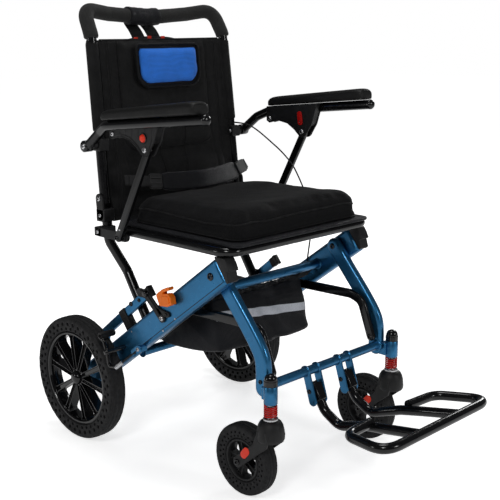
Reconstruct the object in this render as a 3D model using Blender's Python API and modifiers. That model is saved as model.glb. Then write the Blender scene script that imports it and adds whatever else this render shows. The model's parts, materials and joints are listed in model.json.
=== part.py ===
"""Folding manual wheelchair as separate parts. Metres, +Z up, the chair faces -Y.

Side-view sizes are (y, z) pairs measured from a point on the floor below the rear axle, with y
growing towards the back. AXLE_Y moves them so that the chair's box is centred on the origin.
side = -1 is the user's right, side = +1 the user's left.
"""
from math import atan2, cos, pi, radians, sin, tan

import bmesh
import bpy
from mathutils import Matrix, Vector

# Driving dimensions
GAP = 0.0003                      # space kept between pieces that touch
RUN = 0.0006                      # space kept round a shaft or beside a turning piece
WHEEL_R = 0.1425                  # rear wheel
WHEEL_X = 0.2514
WHEEL_W = 0.043
CASTER_R = 0.0752
CASTER_X = 0.1952
CASTER_W = 0.034
CASTER_STEM_Y = -0.5443
CASTER_TRAIL = 0.0672
FOOT_FRONT_Y = -0.8050            # centre of the footrest's front tube
FOOT_R = 0.0100
AXLE_Y = (WHEEL_R * -1 - FOOT_FRONT_Y + FOOT_R) / 2

BEAM_SLOPE = radians(36.3)
BEAM_LEN = 0.536                  # rear axle to front end
BEAM_HALF = 0.0288
BEAM_X = 0.2055
BEAM_T = 0.028
BEAM_IN = BEAM_X - BEAM_T / 2
BEAM_OUT = BEAM_X + BEAM_T / 2

SEAT_Z = 0.497
SEAT_R = 0.0095
SEAT_X = 0.215
SEAT_FRONT_Y = -0.450
SEAT_REAR_Y = -0.115
SEAT_PIVOT = (-0.1405, 0.486)     # also the foot of the armrest support bars

BACK_X = 0.202                    # backrest tubes
LOW_X = 0.178                     # their lower ends, inside the beams
BACK_R = 0.011
BACK_PIVOT = (-0.1316, 0.331)     # lower back tubes on the guide bars
BACKREST_PIVOT = (-0.0490, 0.5565)
BACK_TOP = (-0.0145, 0.905)
BACK_TOP_X = 0.1960                # the uprights lean in towards the push bar

LEG_PIVOT = (-0.390, 0.440)
LEG_X = 0.1805
LEG_T = 0.019
LINK_LEG = (-0.514, 0.2575)       # fold link on the leg
LINK_BACK = (-0.178, 0.260)       # fold link on the back tube
LINK_X = 0.1600
LINK_T = 0.011

CROSS_Y, CROSS_Z = -0.522, 0.237  # front cross tube
HEAD_TOP, HEAD_BOTTOM = 0.2473, 0.2103
FOOT_PIVOT = (-0.5335, 0.197)
RAIL_X = 0.0505

ARM_PIN = (-0.0410, 0.6735)
ARM_BOLT = (-0.2466, 0.6830)
BRACKET_X0, BRACKET_X1 = 0.2262, 0.2480
BAR_X0, BAR_X1 = 0.2310, 0.2435
BUTTON = (-0.2433, 0.7064)
BUTTON_R = 0.0085

LATCH_PIVOT = (-0.2580, 0.3290)
BRAKE_PIVOT = (-0.1250, 0.2350)   # brake arms on the beams
LEVER_PIVOT = (0.0130, 0.8075)    # brake lever behind the left upright
CABLE_R = 0.0018
TYRE_INNER = 0.1080               # rear tyre's seat on its rim
CASTER_TYRE_INNER = 0.0445
SPOKE_HALF = 3.5                  # half a spoke's width at the rim, in degrees

SIDES = ((-1, "r"), (1, "l"))

COLOURS = {
    "blue_paint": ((0.075, 0.19, 0.36), 0.30, 0.60),
    "black_tube": ((0.010, 0.010, 0.011), 0.18, 0.40),
    "black_plastic": ((0.022, 0.022, 0.023), 0.55, 0.0),
    "tyre_rubber": ((0.035, 0.035, 0.037), 0.85, 0.0),
    "steel": ((0.55, 0.55, 0.56), 0.30, 1.0),
    "red_paint": ((0.60, 0.015, 0.012), 0.40, 0.0),
    "orange_plastic": ((0.90, 0.22, 0.02), 0.40, 0.0),
    "black_fabric": ((0.012, 0.012, 0.014), 0.90, 0.0),
    "blue_fabric": ((0.01, 0.07, 0.55), 0.80, 0.0),
    "foam": ((0.018, 0.018, 0.018), 0.95, 0.0),
}


# ---- scene and materials -------------------------------------------------------------------

def new_collection(name):
    made = bpy.data.collections.new(name)
    bpy.context.scene.collection.children.link(made)
    return made


def material(key):
    found = bpy.data.materials.get(key)
    if found:
        return found
    colour, rough, metal = COLOURS[key]
    made = bpy.data.materials.new(key)
    made.use_nodes = True
    shader = made.node_tree.nodes["Principled BSDF"]
    shader.inputs["Base Color"].default_value = (*colour, 1.0)
    shader.inputs["Roughness"].default_value = rough
    shader.inputs["Metallic"].default_value = metal
    return made


def place(obj, collection):
    for owner in list(obj.users_collection):
        owner.objects.unlink(obj)
    collection.objects.link(obj)


def finish(obj, name, key, smooth=30.0):
    """Name a part, give it its material and put it in the parts collection."""
    obj.name = name
    obj.data.materials.clear()
    obj.data.materials.append(material(key))
    obj.data.shade_smooth()
    obj.data.set_sharp_from_angle(angle=radians(smooth))
    place(obj, PARTS)
    return obj


def guide(obj):
    """Hide a cutter or a piece that another one absorbs."""
    obj.hide_render = True
    obj.display_type = "WIRE"
    place(obj, CUTTERS)
    return obj


def boolean(base, other, operation):
    step = base.modifiers.new(operation.lower(), "BOOLEAN")
    step.operation = operation
    step.solver = "EXACT"
    step.object = guide(other)


def unite(base, *others):
    for other in others:
        boolean(base, other, "UNION")
    return base


def cut(base, *others):
    for other in others:
        boolean(base, other, "DIFFERENCE")
    return base


def bevel(obj, width, segments=2):
    step = obj.modifiers.new("edges", "BEVEL")
    step.width = width
    step.segments = segments
    step.limit_method = "ANGLE"
    step.angle_limit = radians(40)
    return obj


# ---- shapes --------------------------------------------------------------------------------

def at(x, point):
    """World position of a side-view point."""
    return Vector((x, point[0] + AXLE_Y, point[1]))


def mesh_object(mesh, matrix=None):
    obj = bpy.data.objects.new("piece", mesh)
    bpy.context.scene.collection.objects.link(obj)
    if matrix is not None:
        obj.matrix_world = matrix
    return obj


def solid_from_curve(obj):
    """Turn a curve into a welded mesh object in the same place."""
    bpy.context.view_layer.update()
    evaluated = obj.evaluated_get(bpy.context.evaluated_depsgraph_get())
    mesh = bpy.data.meshes.new_from_object(evaluated)
    work = bmesh.new()
    work.from_mesh(mesh)
    bmesh.ops.remove_doubles(work, verts=work.verts, dist=0.00001)
    work.to_mesh(mesh)
    work.free()
    made = mesh_object(mesh, obj.matrix_world.copy())
    bpy.data.objects.remove(obj)
    return made


def rounded(points, radius, steps=2):
    """A path through points whose inner corners are arcs."""
    points = [Vector(p) for p in points]
    path = [points[0]]
    for before, corner, after in zip(points, points[1:], points[2:]):
        one = (before - corner).normalized()
        two = (after - corner).normalized()
        half = one.angle(two) / 2
        longest = 0.49 * min((before - corner).length, (after - corner).length)
        reach = min(radius / max(0.001, tan(half)), longest)
        start = corner + one * reach
        end = corner + two * reach
        for i in range(steps + 1):
            t = i / steps
            path.append(start * (1 - t) ** 2 + corner * 2 * t * (1 - t) + end * t * t)
    path.append(points[-1])
    return path


def smooth_route(points, per_span=3):
    """Points along a smooth curve through all the given points."""
    points = [Vector(p) for p in points]
    padded = [points[0] * 2 - points[1], *points, points[-1] * 2 - points[-2]]
    path = []
    for a, b, c, d in zip(padded, padded[1:], padded[2:], padded[3:]):
        for i in range(per_span):
            t = i / per_span
            path.append(0.5 * (2 * b + (c - a) * t + (2 * a - 5 * b + 4 * c - d) * t ** 2
                               + (3 * b - a - 3 * c + d) * t ** 3))
    path.append(points[-1])
    return path


def tube(points, radius, cyclic=False, resolution=2):
    curve = bpy.data.curves.new("tube", "CURVE")
    curve.dimensions = "3D"
    curve.bevel_depth = radius
    curve.bevel_resolution = resolution
    curve.use_fill_caps = not cyclic
    spline = curve.splines.new("POLY")
    spline.points.add(len(points) - 1)
    for control, point in zip(spline.points, points):
        control.co = (*point, 1.0)
    spline.use_cyclic_u = cyclic
    obj = bpy.data.objects.new("tube", curve)
    bpy.context.scene.collection.objects.link(obj)
    return solid_from_curve(obj)


def plate(outlines, x, thickness):
    """A flat side-view outline, with any holes, made thick along X. x is its middle."""
    curve = bpy.data.curves.new("plate", "CURVE")
    curve.dimensions = "2D"
    curve.fill_mode = "BOTH"
    curve.extrude = thickness / 2
    for outline in outlines:
        spline = curve.splines.new("POLY")
        spline.points.add(len(outline) - 1)
        for control, (y, z) in zip(spline.points, outline):
            control.co = (y, z, 0.0, 1.0)
        spline.use_cyclic_u = True
    obj = bpy.data.objects.new("plate", curve)
    bpy.context.scene.collection.objects.link(obj)
    obj.rotation_euler = (pi / 2, 0, pi / 2)
    obj.location = (x, AXLE_Y, 0)
    return solid_from_curve(obj)


def arc(centre, radius, start, end, steps):
    """Side-view points on an arc; angles in degrees, 0 towards the back, 90 up."""
    angles = [radians(start + (end - start) * i / steps) for i in range(steps + 1)]
    return [(centre[0] + radius * cos(a), centre[1] + radius * sin(a)) for a in angles]


def circle(centre, radius, steps=20):
    return arc(centre, radius, 0, 360 - 360 / steps, steps - 1)


def strip(points, half, steps=5):
    """Outline of a bar with round ends that follows a side-view path."""
    path = [Vector(p) for p in points]
    left, right = [], []
    for i, here in enumerate(path):
        before = path[max(i - 1, 0)]
        after = path[min(i + 1, len(path) - 1)]
        along = (after - before).normalized()
        across = Vector((-along.y, along.x)) * half
        left.append(tuple(here + across))
        right.append(tuple(here - across))
    first = (path[0] - path[1]).normalized()
    last = (path[-1] - path[-2]).normalized()
    turn_0 = atan2(first.y, first.x)
    turn_1 = atan2(last.y, last.x)
    start = [(path[0].x + half * cos(turn_0 - pi / 2 + pi * i / steps),
              path[0].y + half * sin(turn_0 - pi / 2 + pi * i / steps)) for i in range(1, steps)]
    end = [(path[-1].x + half * cos(turn_1 + pi / 2 - pi * i / steps),
            path[-1].y + half * sin(turn_1 + pi / 2 - pi * i / steps)) for i in range(1, steps)]
    return left + end + right[::-1] + start[::-1]


def block(x0, x1, low, high):
    """A box between two side-view corners."""
    work = bmesh.new()
    bmesh.ops.create_cube(work, size=1.0)
    size = (abs(x1 - x0), high[0] - low[0], high[1] - low[1])
    middle = at((x0 + x1) / 2, ((low[0] + high[0]) / 2, (low[1] + high[1]) / 2))
    bmesh.ops.scale(work, vec=size, verts=work.verts)
    mesh = bpy.data.meshes.new("block")
    work.to_mesh(mesh)
    work.free()
    return mesh_object(mesh, Matrix.Translation(middle))


def rod(x0, x1, point, radius, segments=16):
    """A cylinder along X."""
    work = bmesh.new()
    bmesh.ops.create_cone(work, cap_ends=True, segments=segments, radius1=radius, radius2=radius,
                          depth=abs(x1 - x0))
    mesh = bpy.data.meshes.new("rod")
    work.to_mesh(mesh)
    work.free()
    middle = Matrix.Translation(at((x0 + x1) / 2, point))
    return mesh_object(mesh, middle @ Matrix.Rotation(pi / 2, 4, "Y"))


def post(x, y, z0, z1, radius, segments=20, top=None):
    """A cylinder or cone along Z."""
    work = bmesh.new()
    bmesh.ops.create_cone(work, cap_ends=True, segments=segments, radius1=radius,
                          radius2=radius if top is None else top, depth=z1 - z0)
    mesh = bpy.data.meshes.new("post")
    work.to_mesh(mesh)
    work.free()
    return mesh_object(mesh, Matrix.Translation(at(x, (y, (z0 + z1) / 2))))


def turned(profile, x, point, steps, closed, along_x=True, flip=1):
    """A turned piece from (radius, height) pairs that run down its outer side."""
    mesh = bpy.data.meshes.new("turned")
    count = len(profile)
    edges = [(i, i + 1) for i in range(count - 1)]
    if closed:
        edges.append((count - 1, 0))
    mesh.from_pydata([(r, 0.0, h) for r, h in profile], edges, [])
    turn = Matrix.Rotation(flip * pi / 2, 4, "Y") if along_x else Matrix.Identity(4)
    obj = mesh_object(mesh, Matrix.Translation(at(x, point)) @ turn)
    screw = obj.modifiers.new("turn", "SCREW")
    screw.steps = steps
    screw.render_steps = steps
    screw.use_merge_vertices = True
    screw.merge_threshold = 0.00001
    return obj


def on_beam(along, across):
    """Side-view point in the main beam's own directions, from the rear axle."""
    return (-along * cos(BEAM_SLOPE) + across * sin(BEAM_SLOPE),
            WHEEL_R + along * sin(BEAM_SLOPE) + across * cos(BEAM_SLOPE))


# ---- main frame ----------------------------------------------------------------------------

def main_beam(side, tag):
    """Oval extrusion from the rear axle up to the seat's front corner."""
    rear = [on_beam(BEAM_HALF * cos(a), BEAM_HALF * sin(a))
            for a in (radians(90 + 180 * i / 8) for i in range(9))]
    outline = [on_beam(BEAM_LEN, -BEAM_HALF), on_beam(BEAM_LEN, BEAM_HALF), *rear]
    beam = bevel(plate([outline], side * BEAM_X, BEAM_T), 0.0075)
    cut(beam, rod(side * (BEAM_IN - 0.01), side * (BEAM_OUT + 0.01), (0, WHEEL_R), 0.006 + RUN))
    return finish(beam, f"main_beam_{tag}", "blue_paint")


def beam_cap(side, tag):
    """Plastic end cap whose top is the saddle that the seat tube lies on."""
    start = BEAM_LEN + GAP
    saddle_z = SEAT_Z - SEAT_R - GAP * 2
    outline = [on_beam(start, -BEAM_HALF), on_beam(start, BEAM_HALF), (-0.4155, saddle_z),
               (-0.4420, saddle_z), (-0.4500, 0.4760), (-0.4565, 0.4620),
               on_beam(start + 0.0145, -0.010), on_beam(start + 0.0080, -BEAM_HALF)]
    cap = bevel(plate([outline], side * BEAM_X, BEAM_T), 0.003, 1)
    return finish(cap, f"beam_cap_{tag}", "black_plastic")


def cross_tubes():
    """Two round tubes that tie the beams together."""
    inner = BEAM_IN - GAP
    middle = rod(-inner, inner, (-0.329, 0.386), 0.0105, 20)
    finish(middle, "mid_cross_tube", "blue_paint")
    rear = rod(-inner, inner, (-0.150, 0.222), 0.0100, 20)
    finish(rear, "rear_cross_tube", "blue_paint")


def guide_bar(side, tag):
    """Thin flat bar above the beam that carries the back tube's pivot, with a foot on the beam."""
    tip = (-0.1910, 0.3695)
    tail = (-0.0130, 0.2300)
    along = (Vector(tip) - Vector(tail)).normalized()
    up = Vector((along.y, -along.x)) * 0.010
    foot_top = BEAM_HALF + GAP
    bar = [Vector(tail) + up, Vector(tip) + up, Vector(tip) - up, Vector(tail) + along * 0.030 - up]
    outline = [*(tuple(p) for p in bar), on_beam(0.062, foot_top), on_beam(0.022, foot_top)]
    return finish(bevel(plate([outline], side * 0.198, 0.011), 0.0015, 1), f"guide_bar_{tag}", "blue_paint")


def storage_bag():
    """Soft bag that hangs under the seat between the beams."""
    outline = [(-0.318, 0.366), (-0.347, 0.305), (-0.334, 0.250), (-0.170, 0.240), (-0.125, 0.250),
               (-0.120, 0.275), (-0.170, 0.300)]
    return finish(bevel(plate([outline], 0, 0.290), 0.010), "storage_bag", "black_fabric")


CABLE_ROUTE = [(0.1800, -0.0030, 0.7970), (0.1800, 0.0020, 0.7600), (0.1880, 0.0020, 0.7200),
               (0.2040, -0.0120, 0.6960), (0.2180, -0.0260, 0.6920), (0.2210, -0.0880, 0.6850),
               (0.2210, -0.1660, 0.6450), (0.2210, -0.2050, 0.6190), (0.2215, -0.2280, 0.5970),
               (0.2250, -0.2550, 0.5500), (0.2275, -0.2680, 0.5150), (0.2275, -0.2760, 0.4900),
               (0.2180, -0.2880, 0.4600), (0.1990, -0.2980, 0.4280), (0.1890, -0.3010, 0.3950),
               (0.1890, -0.2960, 0.3600)]


def brake_cable():
    """Cable from the brake lever behind the backrest to its clip on the left beam."""
    route = [(x, y + AXLE_Y, z) for x, y, z in CABLE_ROUTE]
    return finish(tube(smooth_route(route, 2), CABLE_R, resolution=1), "brake_cable", "black_plastic")


# ---- rear wheels ---------------------------------------------------------------------------

def tyre(name, x, point, outer, inner, width, steps):
    """Solid tyre with a rounded tread."""
    h = width / 2
    wall = outer - inner
    half = [(inner, h * 0.85), (outer - wall * 0.34, h), (outer - wall * 0.10, h * 0.80), (outer, h * 0.45)]
    profile = half + [(r, -z) for r, z in reversed(half)]
    return finish(turned(profile, x, point, steps, True), name, "tyre_rubber", 50)


def window(point, first, last, near, far):
    """A three or four-cornered opening between two spokes, narrow end towards the hub."""
    start = radians(first + SPOKE_HALF)
    stop = radians(last - SPOKE_HALF)
    lean = radians(4)
    if stop - start > 2 * lean:
        spots = [(near, start + lean), (far, start), (far, stop), (near, stop - lean)]
    else:
        spots = [(near + 0.016, (start + stop) / 2), (far, start), (far, stop)]
    return [(point[0] + r * cos(a), point[1] + r * sin(a)) for r, a in spots]


def rim(name, x, point, outer, inner, width, hub, spokes, bore, web, steps):
    """Moulded wheel: rim band, web with openings between its spokes, and hub with a bore.

    hub is (radius, length), and spokes lists the openings' first and last angles.
    """
    h = width / 2
    band = turned([(inner, h), (outer, h), (outer, -h), (inner, -h)], x, point, steps, True)
    openings = [window(point, first, last, hub[0] + 0.004, inner - 0.0005) for first, last in spokes]
    disc = plate([circle(point, (inner + outer) / 2, steps - 4), *openings], x, web)
    core = rod(x - hub[1] / 2, x + hub[1] / 2, point, hub[0])
    unite(disc, core, band)
    cut(disc, rod(x - width, x + width, point, bore))
    return finish(disc, name, "black_plastic")


def rear_wheel(side, tag):
    centre = (0, WHEEL_R)
    x = side * WHEEL_X
    steps = 32
    tyre(f"rear_tyre_{tag}", x, centre, WHEEL_R, TYRE_INNER, WHEEL_W, steps)
    fans = []
    for i in range(5):
        start = 72 * i + 8
        fans += [(start, start + 42), (start + 42, start + 72)]
    rim(f"rear_wheel_{tag}", x, centre, TYRE_INNER - GAP, TYRE_INNER - 0.0095, width=0.032,
        hub=(0.021, 0.022), spokes=fans, bore=0.006 + RUN, web=0.014, steps=steps)
    shaft = rod(side * 0.187, side * 0.2665, centre, 0.006, 16)
    dome = [(0.0, 0.0090), (0.0060, 0.0083), (0.0105, 0.0055), (0.0130, 0.0), (0.0, 0.0)]
    cap = turned(dome, side * 0.2630, centre, 16, False, flip=side)
    head = rod(side * 0.1850, side * (BEAM_IN - RUN), centre, 0.010, 6)
    finish(unite(shaft, cap, head), f"rear_axle_{tag}", "steel")


# ---- front legs and casters ----------------------------------------------------------------

def front_leg(side, tag):
    """Oval leg with the caster's head tube welded in front of its foot."""
    path = [LEG_PIVOT, (-0.4316, 0.391), (-0.468, 0.349), (-0.4960, 0.3135), (-0.5080, 0.2920),
            (-0.5120, 0.2700), (-0.5125, 0.2300)]
    leg = bevel(plate([strip(path, 0.0175, 5)], side * LEG_X, LEG_T), 0.006, 1)
    head = post(side * CASTER_X, CASTER_STEM_Y, HEAD_BOTTOM, HEAD_TOP, 0.0138)
    gusset = block(side * 0.176, side * 0.200, (-0.5440, 0.2150), (-0.5230, 0.2420))
    unite(leg, gusset, head)
    cut(leg, post(side * CASTER_X, CASTER_STEM_Y, HEAD_BOTTOM - 0.02, HEAD_TOP + 0.02, 0.008 + RUN))
    return finish(leg, f"front_leg_{tag}", "blue_paint")


def front_cross_tube():
    """Cross tube with two pairs of plates that hold the footrest."""
    reach = LEG_X - LEG_T / 2 - GAP
    bar = rod(-reach, reach, (CROSS_Y, CROSS_Z), 0.0095, 20)
    lugs = strip([(CROSS_Y - 0.003, CROSS_Z - 0.004), (-0.5425, 0.1770)], 0.0095)
    for rail in (-RAIL_X, RAIL_X):
        for edge in (-0.0165, 0.0165):
            unite(bar, plate([lugs], rail + edge, 0.004))
    return finish(bar, "front_cross_tube", "blue_paint")


def caster(side, tag):
    """Fork on a sprung stem, with its wheel."""
    x = side * CASTER_X
    hub = (CASTER_STEM_Y + CASTER_TRAIL, CASTER_R)
    top = 0.1775
    arm = [(CASTER_STEM_Y - 0.0225, 0.1480), *arc(hub, 0.0125, 225, 405, 6),
           (CASTER_STEM_Y + 0.0235, 0.1500), (CASTER_STEM_Y + 0.0200, 0.1700),
           (CASTER_STEM_Y - 0.0200, 0.1700)]
    fork = bevel(plate([arm], x, 0.053), 0.003, 1)
    cut(fork, rod(x - 0.0205, x + 0.0205, hub, CASTER_R + 0.004, 28))
    crown = [(0.0, 0.2380), (0.008, 0.2380), (0.008, top), (0.0150, top), (0.0230, top - 0.0080),
             (0.0262, 0.1460), (0.0, 0.1460)]
    unite(fork, turned(crown, x, (CASTER_STEM_Y, 0), 16, False, along_x=False))
    cut(fork, rod(x - 0.03, x + 0.03, hub, 0.004 + RUN, 20))
    finish(fork, f"caster_fork_{tag}", "black_plastic")

    steps = 24
    tyre(f"caster_tyre_{tag}", x, hub, CASTER_R, CASTER_TYRE_INNER, CASTER_W, steps)
    fans = [(72 * i, 72 * i + 72) for i in range(5)]
    rim(f"caster_wheel_{tag}", x, hub, CASTER_TYRE_INNER - GAP, CASTER_TYRE_INNER - 0.0080, width=0.026,
        hub=(0.0110, 0.034), spokes=fans, bore=0.004 + RUN, web=0.012, steps=steps)
    axle = rod(x - 0.0290, x + 0.0290, hub, 0.004, 20)
    unite(axle, rod(x - 0.0300, x - 0.0268, hub, 0.0075, 6), rod(x + 0.0268, x + 0.0300, hub, 0.0075, 6))
    finish(axle, f"caster_axle_{tag}", "steel")

    low = top + RUN
    ring = [(0.008 + RUN, low + 0.0040), (0.0150, low + 0.0040), (0.0150, low), (0.008 + RUN, low)]
    finish(turned(ring, x, (CASTER_STEM_Y, 0), 16, True, along_x=False), f"spring_seat_{tag}", "steel")

    wire = 0.0018
    coil_r = 0.0122
    per_turn = 8
    count = 4 * per_turn
    z0 = low + 0.0040 + GAP + wire
    z1 = HEAD_BOTTOM - GAP - wire
    helix = []
    for i in range(count + 1):
        turn = 2 * pi * i / per_turn
        spot = (CASTER_STEM_Y + coil_r * sin(turn), z0 + (z1 - z0) * i / count)
        helix.append(at(x + coil_r * cos(turn), spot))
    finish(tube(helix, wire, resolution=0), f"caster_spring_{tag}", "red_paint")

    lid = HEAD_TOP + GAP
    dome = [(0.0, lid + 0.0240), (0.0070, lid + 0.0225), (0.0115, lid + 0.0180), (0.0138, lid + 0.0110),
            (0.0138, lid), (0.0, lid)]
    cap = turned(dome, x, (CASTER_STEM_Y, 0), 16, False, along_x=False)
    finish(cap, f"caster_cap_{tag}", "black_plastic")


def fold_link(side, tag):
    """Bent bar from the leg's foot to the back tube's lower end."""
    bends = [(-0.4850, 0.3350, 0), (-0.4550, 0.3440, 0), (-0.2850, 0.3400, 0)]
    path = rounded([(*LINK_LEG, 0), *bends, (*LINK_BACK, 0)], 0.03)
    outline = strip([(p.x, p.y) for p in path], 0.010)
    link = bevel(plate([outline], side * LINK_X, LINK_T), 0.003, 1)
    return finish(link, f"fold_link_{tag}", "black_tube")


def footrest():
    """Two rails that hang from the plates and a loop that the feet rest on."""
    profile = [(-0.5262, 0.2120), (-0.5600, 0.1580), (-0.6000, 0.1360), (-0.6730, 0.1600),
               (-0.7230, 0.1695), (FOOT_FRONT_Y, 0.1850)]
    pieces = []
    for side in (-1, 1):
        spread = [0.0, 0.0, 0.0, 0.0060, 0.0110, 0.0160]
        path = [at(side * (RAIL_X + s), p) for s, p in zip(spread, profile)]
        pieces.append(tube(rounded(path, 0.035), FOOT_R))
        middle = side * RAIL_X
        pieces.append(rod(middle - 0.0139, middle + 0.0139, FOOT_PIVOT, 0.0075))
    half = [(0.0620, -0.6860), (0.1450, -0.6930), (0.1760, FOOT_FRONT_Y)]
    half = [(x, y, 0.1640 - (y + 0.6) * 0.1024) for x, y in half]
    loop = [at(-x, (y, z)) for x, y, z in half] + [at(x, (y, z)) for x, y, z in reversed(half)]
    ring = tube(rounded(loop, 0.035), FOOT_R)
    return finish(unite(ring, *pieces), "footrest", "black_tube")


# ---- back tubes and seat -------------------------------------------------------------------

def back_tube(side, tag):
    """Lower back tube with the seat's arm and the backrest's hinge ear."""
    x = side * BACK_X
    low = side * LOW_X
    path = [at(x, (-0.0513, 0.5350)), at(x, (-0.0597, 0.4620)), at(low, (-0.0898, 0.3950)),
            at(low, LINK_BACK)]
    stem = tube(rounded(path, 0.045, 4), BACK_R)
    inner = side * (BACK_X - 0.0130)
    arm = block(inner, side * 0.2302, (-0.0690, 0.4760), (-0.0440, 0.4960))
    reach = plate([strip([(-0.0580, 0.4860), SEAT_PIVOT], 0.0100)], side * 0.2280, 0.0044)
    clamp = block(inner, side * 0.2185, (-0.0660, 0.5060), (-0.0380, 0.5345))
    ear = plate([strip([(-0.0525, 0.5200), BACKREST_PIVOT], 0.0115)], side * 0.2160, 0.0050)
    boss = rod(low, side * (0.1925 - RUN), BACK_PIVOT, 0.0085)
    return finish(unite(stem, arm, reach, clamp, ear, boss), f"back_tube_{tag}", "black_tube")


def seat_frame():
    """Closed loop of tube under the cushion."""
    corners = [(-SEAT_X, SEAT_FRONT_Y), (SEAT_X, SEAT_FRONT_Y), (SEAT_X, SEAT_REAR_Y),
               (-SEAT_X, SEAT_REAR_Y)]
    corners = [at(x, (y, SEAT_Z)) for x, y in corners]
    middle = (corners[3] + corners[0]) / 2
    path = rounded([middle, *corners, middle], 0.034, 5)
    return finish(tube(path[:-1], SEAT_R, cyclic=True), "seat_frame", "black_tube")


def seat_cushion():
    base = SEAT_Z + SEAT_R + GAP
    slab = block(-0.204, 0.204, (-0.462, base), (-0.128, 0.5560))
    return finish(bevel(slab, 0.014), "seat_cushion", "black_fabric")


# ---- backrest ------------------------------------------------------------------------------

def bar_path():
    """The bent tube that makes both uprights and the push bar."""
    half = [(BACK_X, -0.0499, 0.5450), (BACK_TOP_X, BACK_TOP[0], BACK_TOP[1]), (0.1910, 0.0170, 0.9620),
            (0.1160, 0.0300, 0.9520), (0.0, 0.0330, 0.9440)]
    left = [at(-x, (y, z)) for x, y, z in half]
    right = [at(x, (y, z)) for x, y, z in half[-2::-1]]
    return left + right


def push_bar_frame():
    """Backrest uprights and push bar, with the armrests' pivot clamps."""
    frame = tube(rounded(bar_path(), 0.045), BACK_R)
    for side in (-1, 1):
        low = (ARM_PIN[0] - 0.014, ARM_PIN[1] - 0.013)
        high = (ARM_PIN[0] + 0.014, ARM_PIN[1] + 0.013)
        clamp = block(side * (BACK_X - 0.0130), side * (BACK_X + 0.0130), low, high)
        boss = rod(side * (BACK_X + 0.010), side * (0.2268 - RUN), ARM_PIN, 0.0095, 20)
        unite(frame, clamp, boss)
    lever_clamp = block(0.1700, 0.2000, (-0.0180, 0.7985), (LEVER_PIVOT[0] - 0.0070, 0.8165))
    return finish(unite(frame, lever_clamp), "push_bar_frame", "black_tube")


def handle_foam():
    """Foam sleeve round the push bar."""
    path = rounded(bar_path(), 0.045)
    inside = [p for p in path if p.z > 0.9000]
    sleeve = tube(inside, 0.0158)
    start = inside[0] + (inside[0] - inside[1]).normalized() * 0.01
    end = inside[-1] + (inside[-1] - inside[-2]).normalized() * 0.01
    bore = tube([start, *inside, end], BACK_R + 0.0016)
    return finish(cut(sleeve, bore), "handle_foam", "foam")


def backrest_fabric():
    """Fabric panel between the uprights."""
    outline = strip([(-0.0565, 0.5150), (-0.0170, 0.8930)], 0.0060, 2)
    panel = plate([outline], 0, 2 * (BACK_TOP_X - BACK_R - 0.0025))
    return finish(bevel(panel, 0.002, 1), "backrest_fabric", "black_fabric")


def head_pad():
    pad = plate([strip([(-0.0460, 0.8100), (-0.0380, 0.8780)], 0.0095, 4)], 0, 0.188)
    return finish(bevel(pad, 0.005, 1), "head_pad", "blue_fabric")


def lap_belt():
    """Belt that lies across the seat in front of the backrest."""
    half = [(0.186, -0.1000, 0.6000), (0.120, -0.1350, 0.5850)]
    left = [at(-x, (y, z)) for x, y, z in half]
    right = [at(x, (y, z)) for x, y, z in reversed(half)]
    path = smooth_route([*left, at(0.0, (-0.1500, 0.5850)), *right], 2)
    return finish(tube(path, 0.0085), "lap_belt", "black_fabric")


# ---- armrests ------------------------------------------------------------------------------

def pad_bottom(y):
    return 0.7362 + 0.1 * (-y - 0.134)


def armrest(side, tag):
    """Tube, pad, moulded bracket and its red release button."""
    tube_r = 0.0105
    drop = tube_r + GAP * 2
    inner = side * 0.2375
    outer = side * 0.2490
    path = [at(inner, (ARM_PIN[0] - 0.004, ARM_PIN[1] + 0.001)), at(inner, (-0.0900, 0.7080)),
            at(outer, (-0.1250, pad_bottom(-0.1250) - drop)),
            at(outer, (-0.4300, pad_bottom(-0.4300) - drop))]
    rail = tube(rounded(path, 0.035), tube_r)
    eye = rod(side * 0.2268, side * 0.2480, ARM_PIN, 0.0125, 20)
    finish(unite(rail, eye), f"arm_tube_{tag}", "black_tube")

    cushion = [(-0.134, pad_bottom(-0.134)), (-0.416, pad_bottom(-0.416)), (-0.418, 0.7905),
               (-0.132, 0.7575)]
    pad = plate([cushion], side * 0.2498, 0.0468)
    finish(bevel(pad, 0.006), f"arm_pad_{tag}", "black_plastic")

    under = drop + tube_r + GAP * 2
    outline = [(-0.1330, pad_bottom(-0.1330) - under), (-0.1330, 0.7020), (-0.1420, 0.6970),
               (-0.1700, 0.7040), (-0.2000, 0.6990), (-0.2220, 0.6860),
               *arc(ARM_BOLT, 0.0140, 315, 200, 4), (-0.2760, 0.7010),
               (-0.2930, pad_bottom(-0.2930) - under)]
    middle = (BRACKET_X0 + BRACKET_X1) / 2
    bracket = bevel(plate([outline], side * middle, BRACKET_X1 - BRACKET_X0), 0.0015, 1)
    slot = block(side * (BAR_X0 - 0.001), side * (BAR_X1 + 0.001), (-0.2660, 0.6550), (-0.1900, 0.6945))
    cut(bracket, slot)
    cut(bracket, rod(side * 0.2370, side * 0.2600, BUTTON, BUTTON_R + RUN, 20))
    cut(bracket, rod(side * 0.2200, side * 0.2400, BUTTON, 0.0040 + RUN, 16))
    cut(bracket, rod(side * 0.2200, side * 0.2300, BUTTON, 0.0070 + RUN, 20))
    finish(bracket, f"arm_bracket_{tag}", "black_plastic")

    button = rod(side * 0.2410, side * 0.2510, BUTTON, BUTTON_R, 20)
    unite(button, rod(side * 0.2290, side * 0.2420, BUTTON, 0.0040, 16))
    finish(button, f"arm_button_{tag}", "red_paint")


def support_bar(side, tag):
    """Strut from the seat's pivot to the armrest bracket."""
    outline = strip([SEAT_PIVOT, ARM_BOLT], 0.0090)
    bar = plate([outline], side * (BAR_X0 + BAR_X1) / 2, BAR_X1 - BAR_X0)
    return finish(bevel(bar, 0.003, 1), f"support_bar_{tag}", "black_tube")


# ---- latch and brakes ----------------------------------------------------------------------

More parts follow.
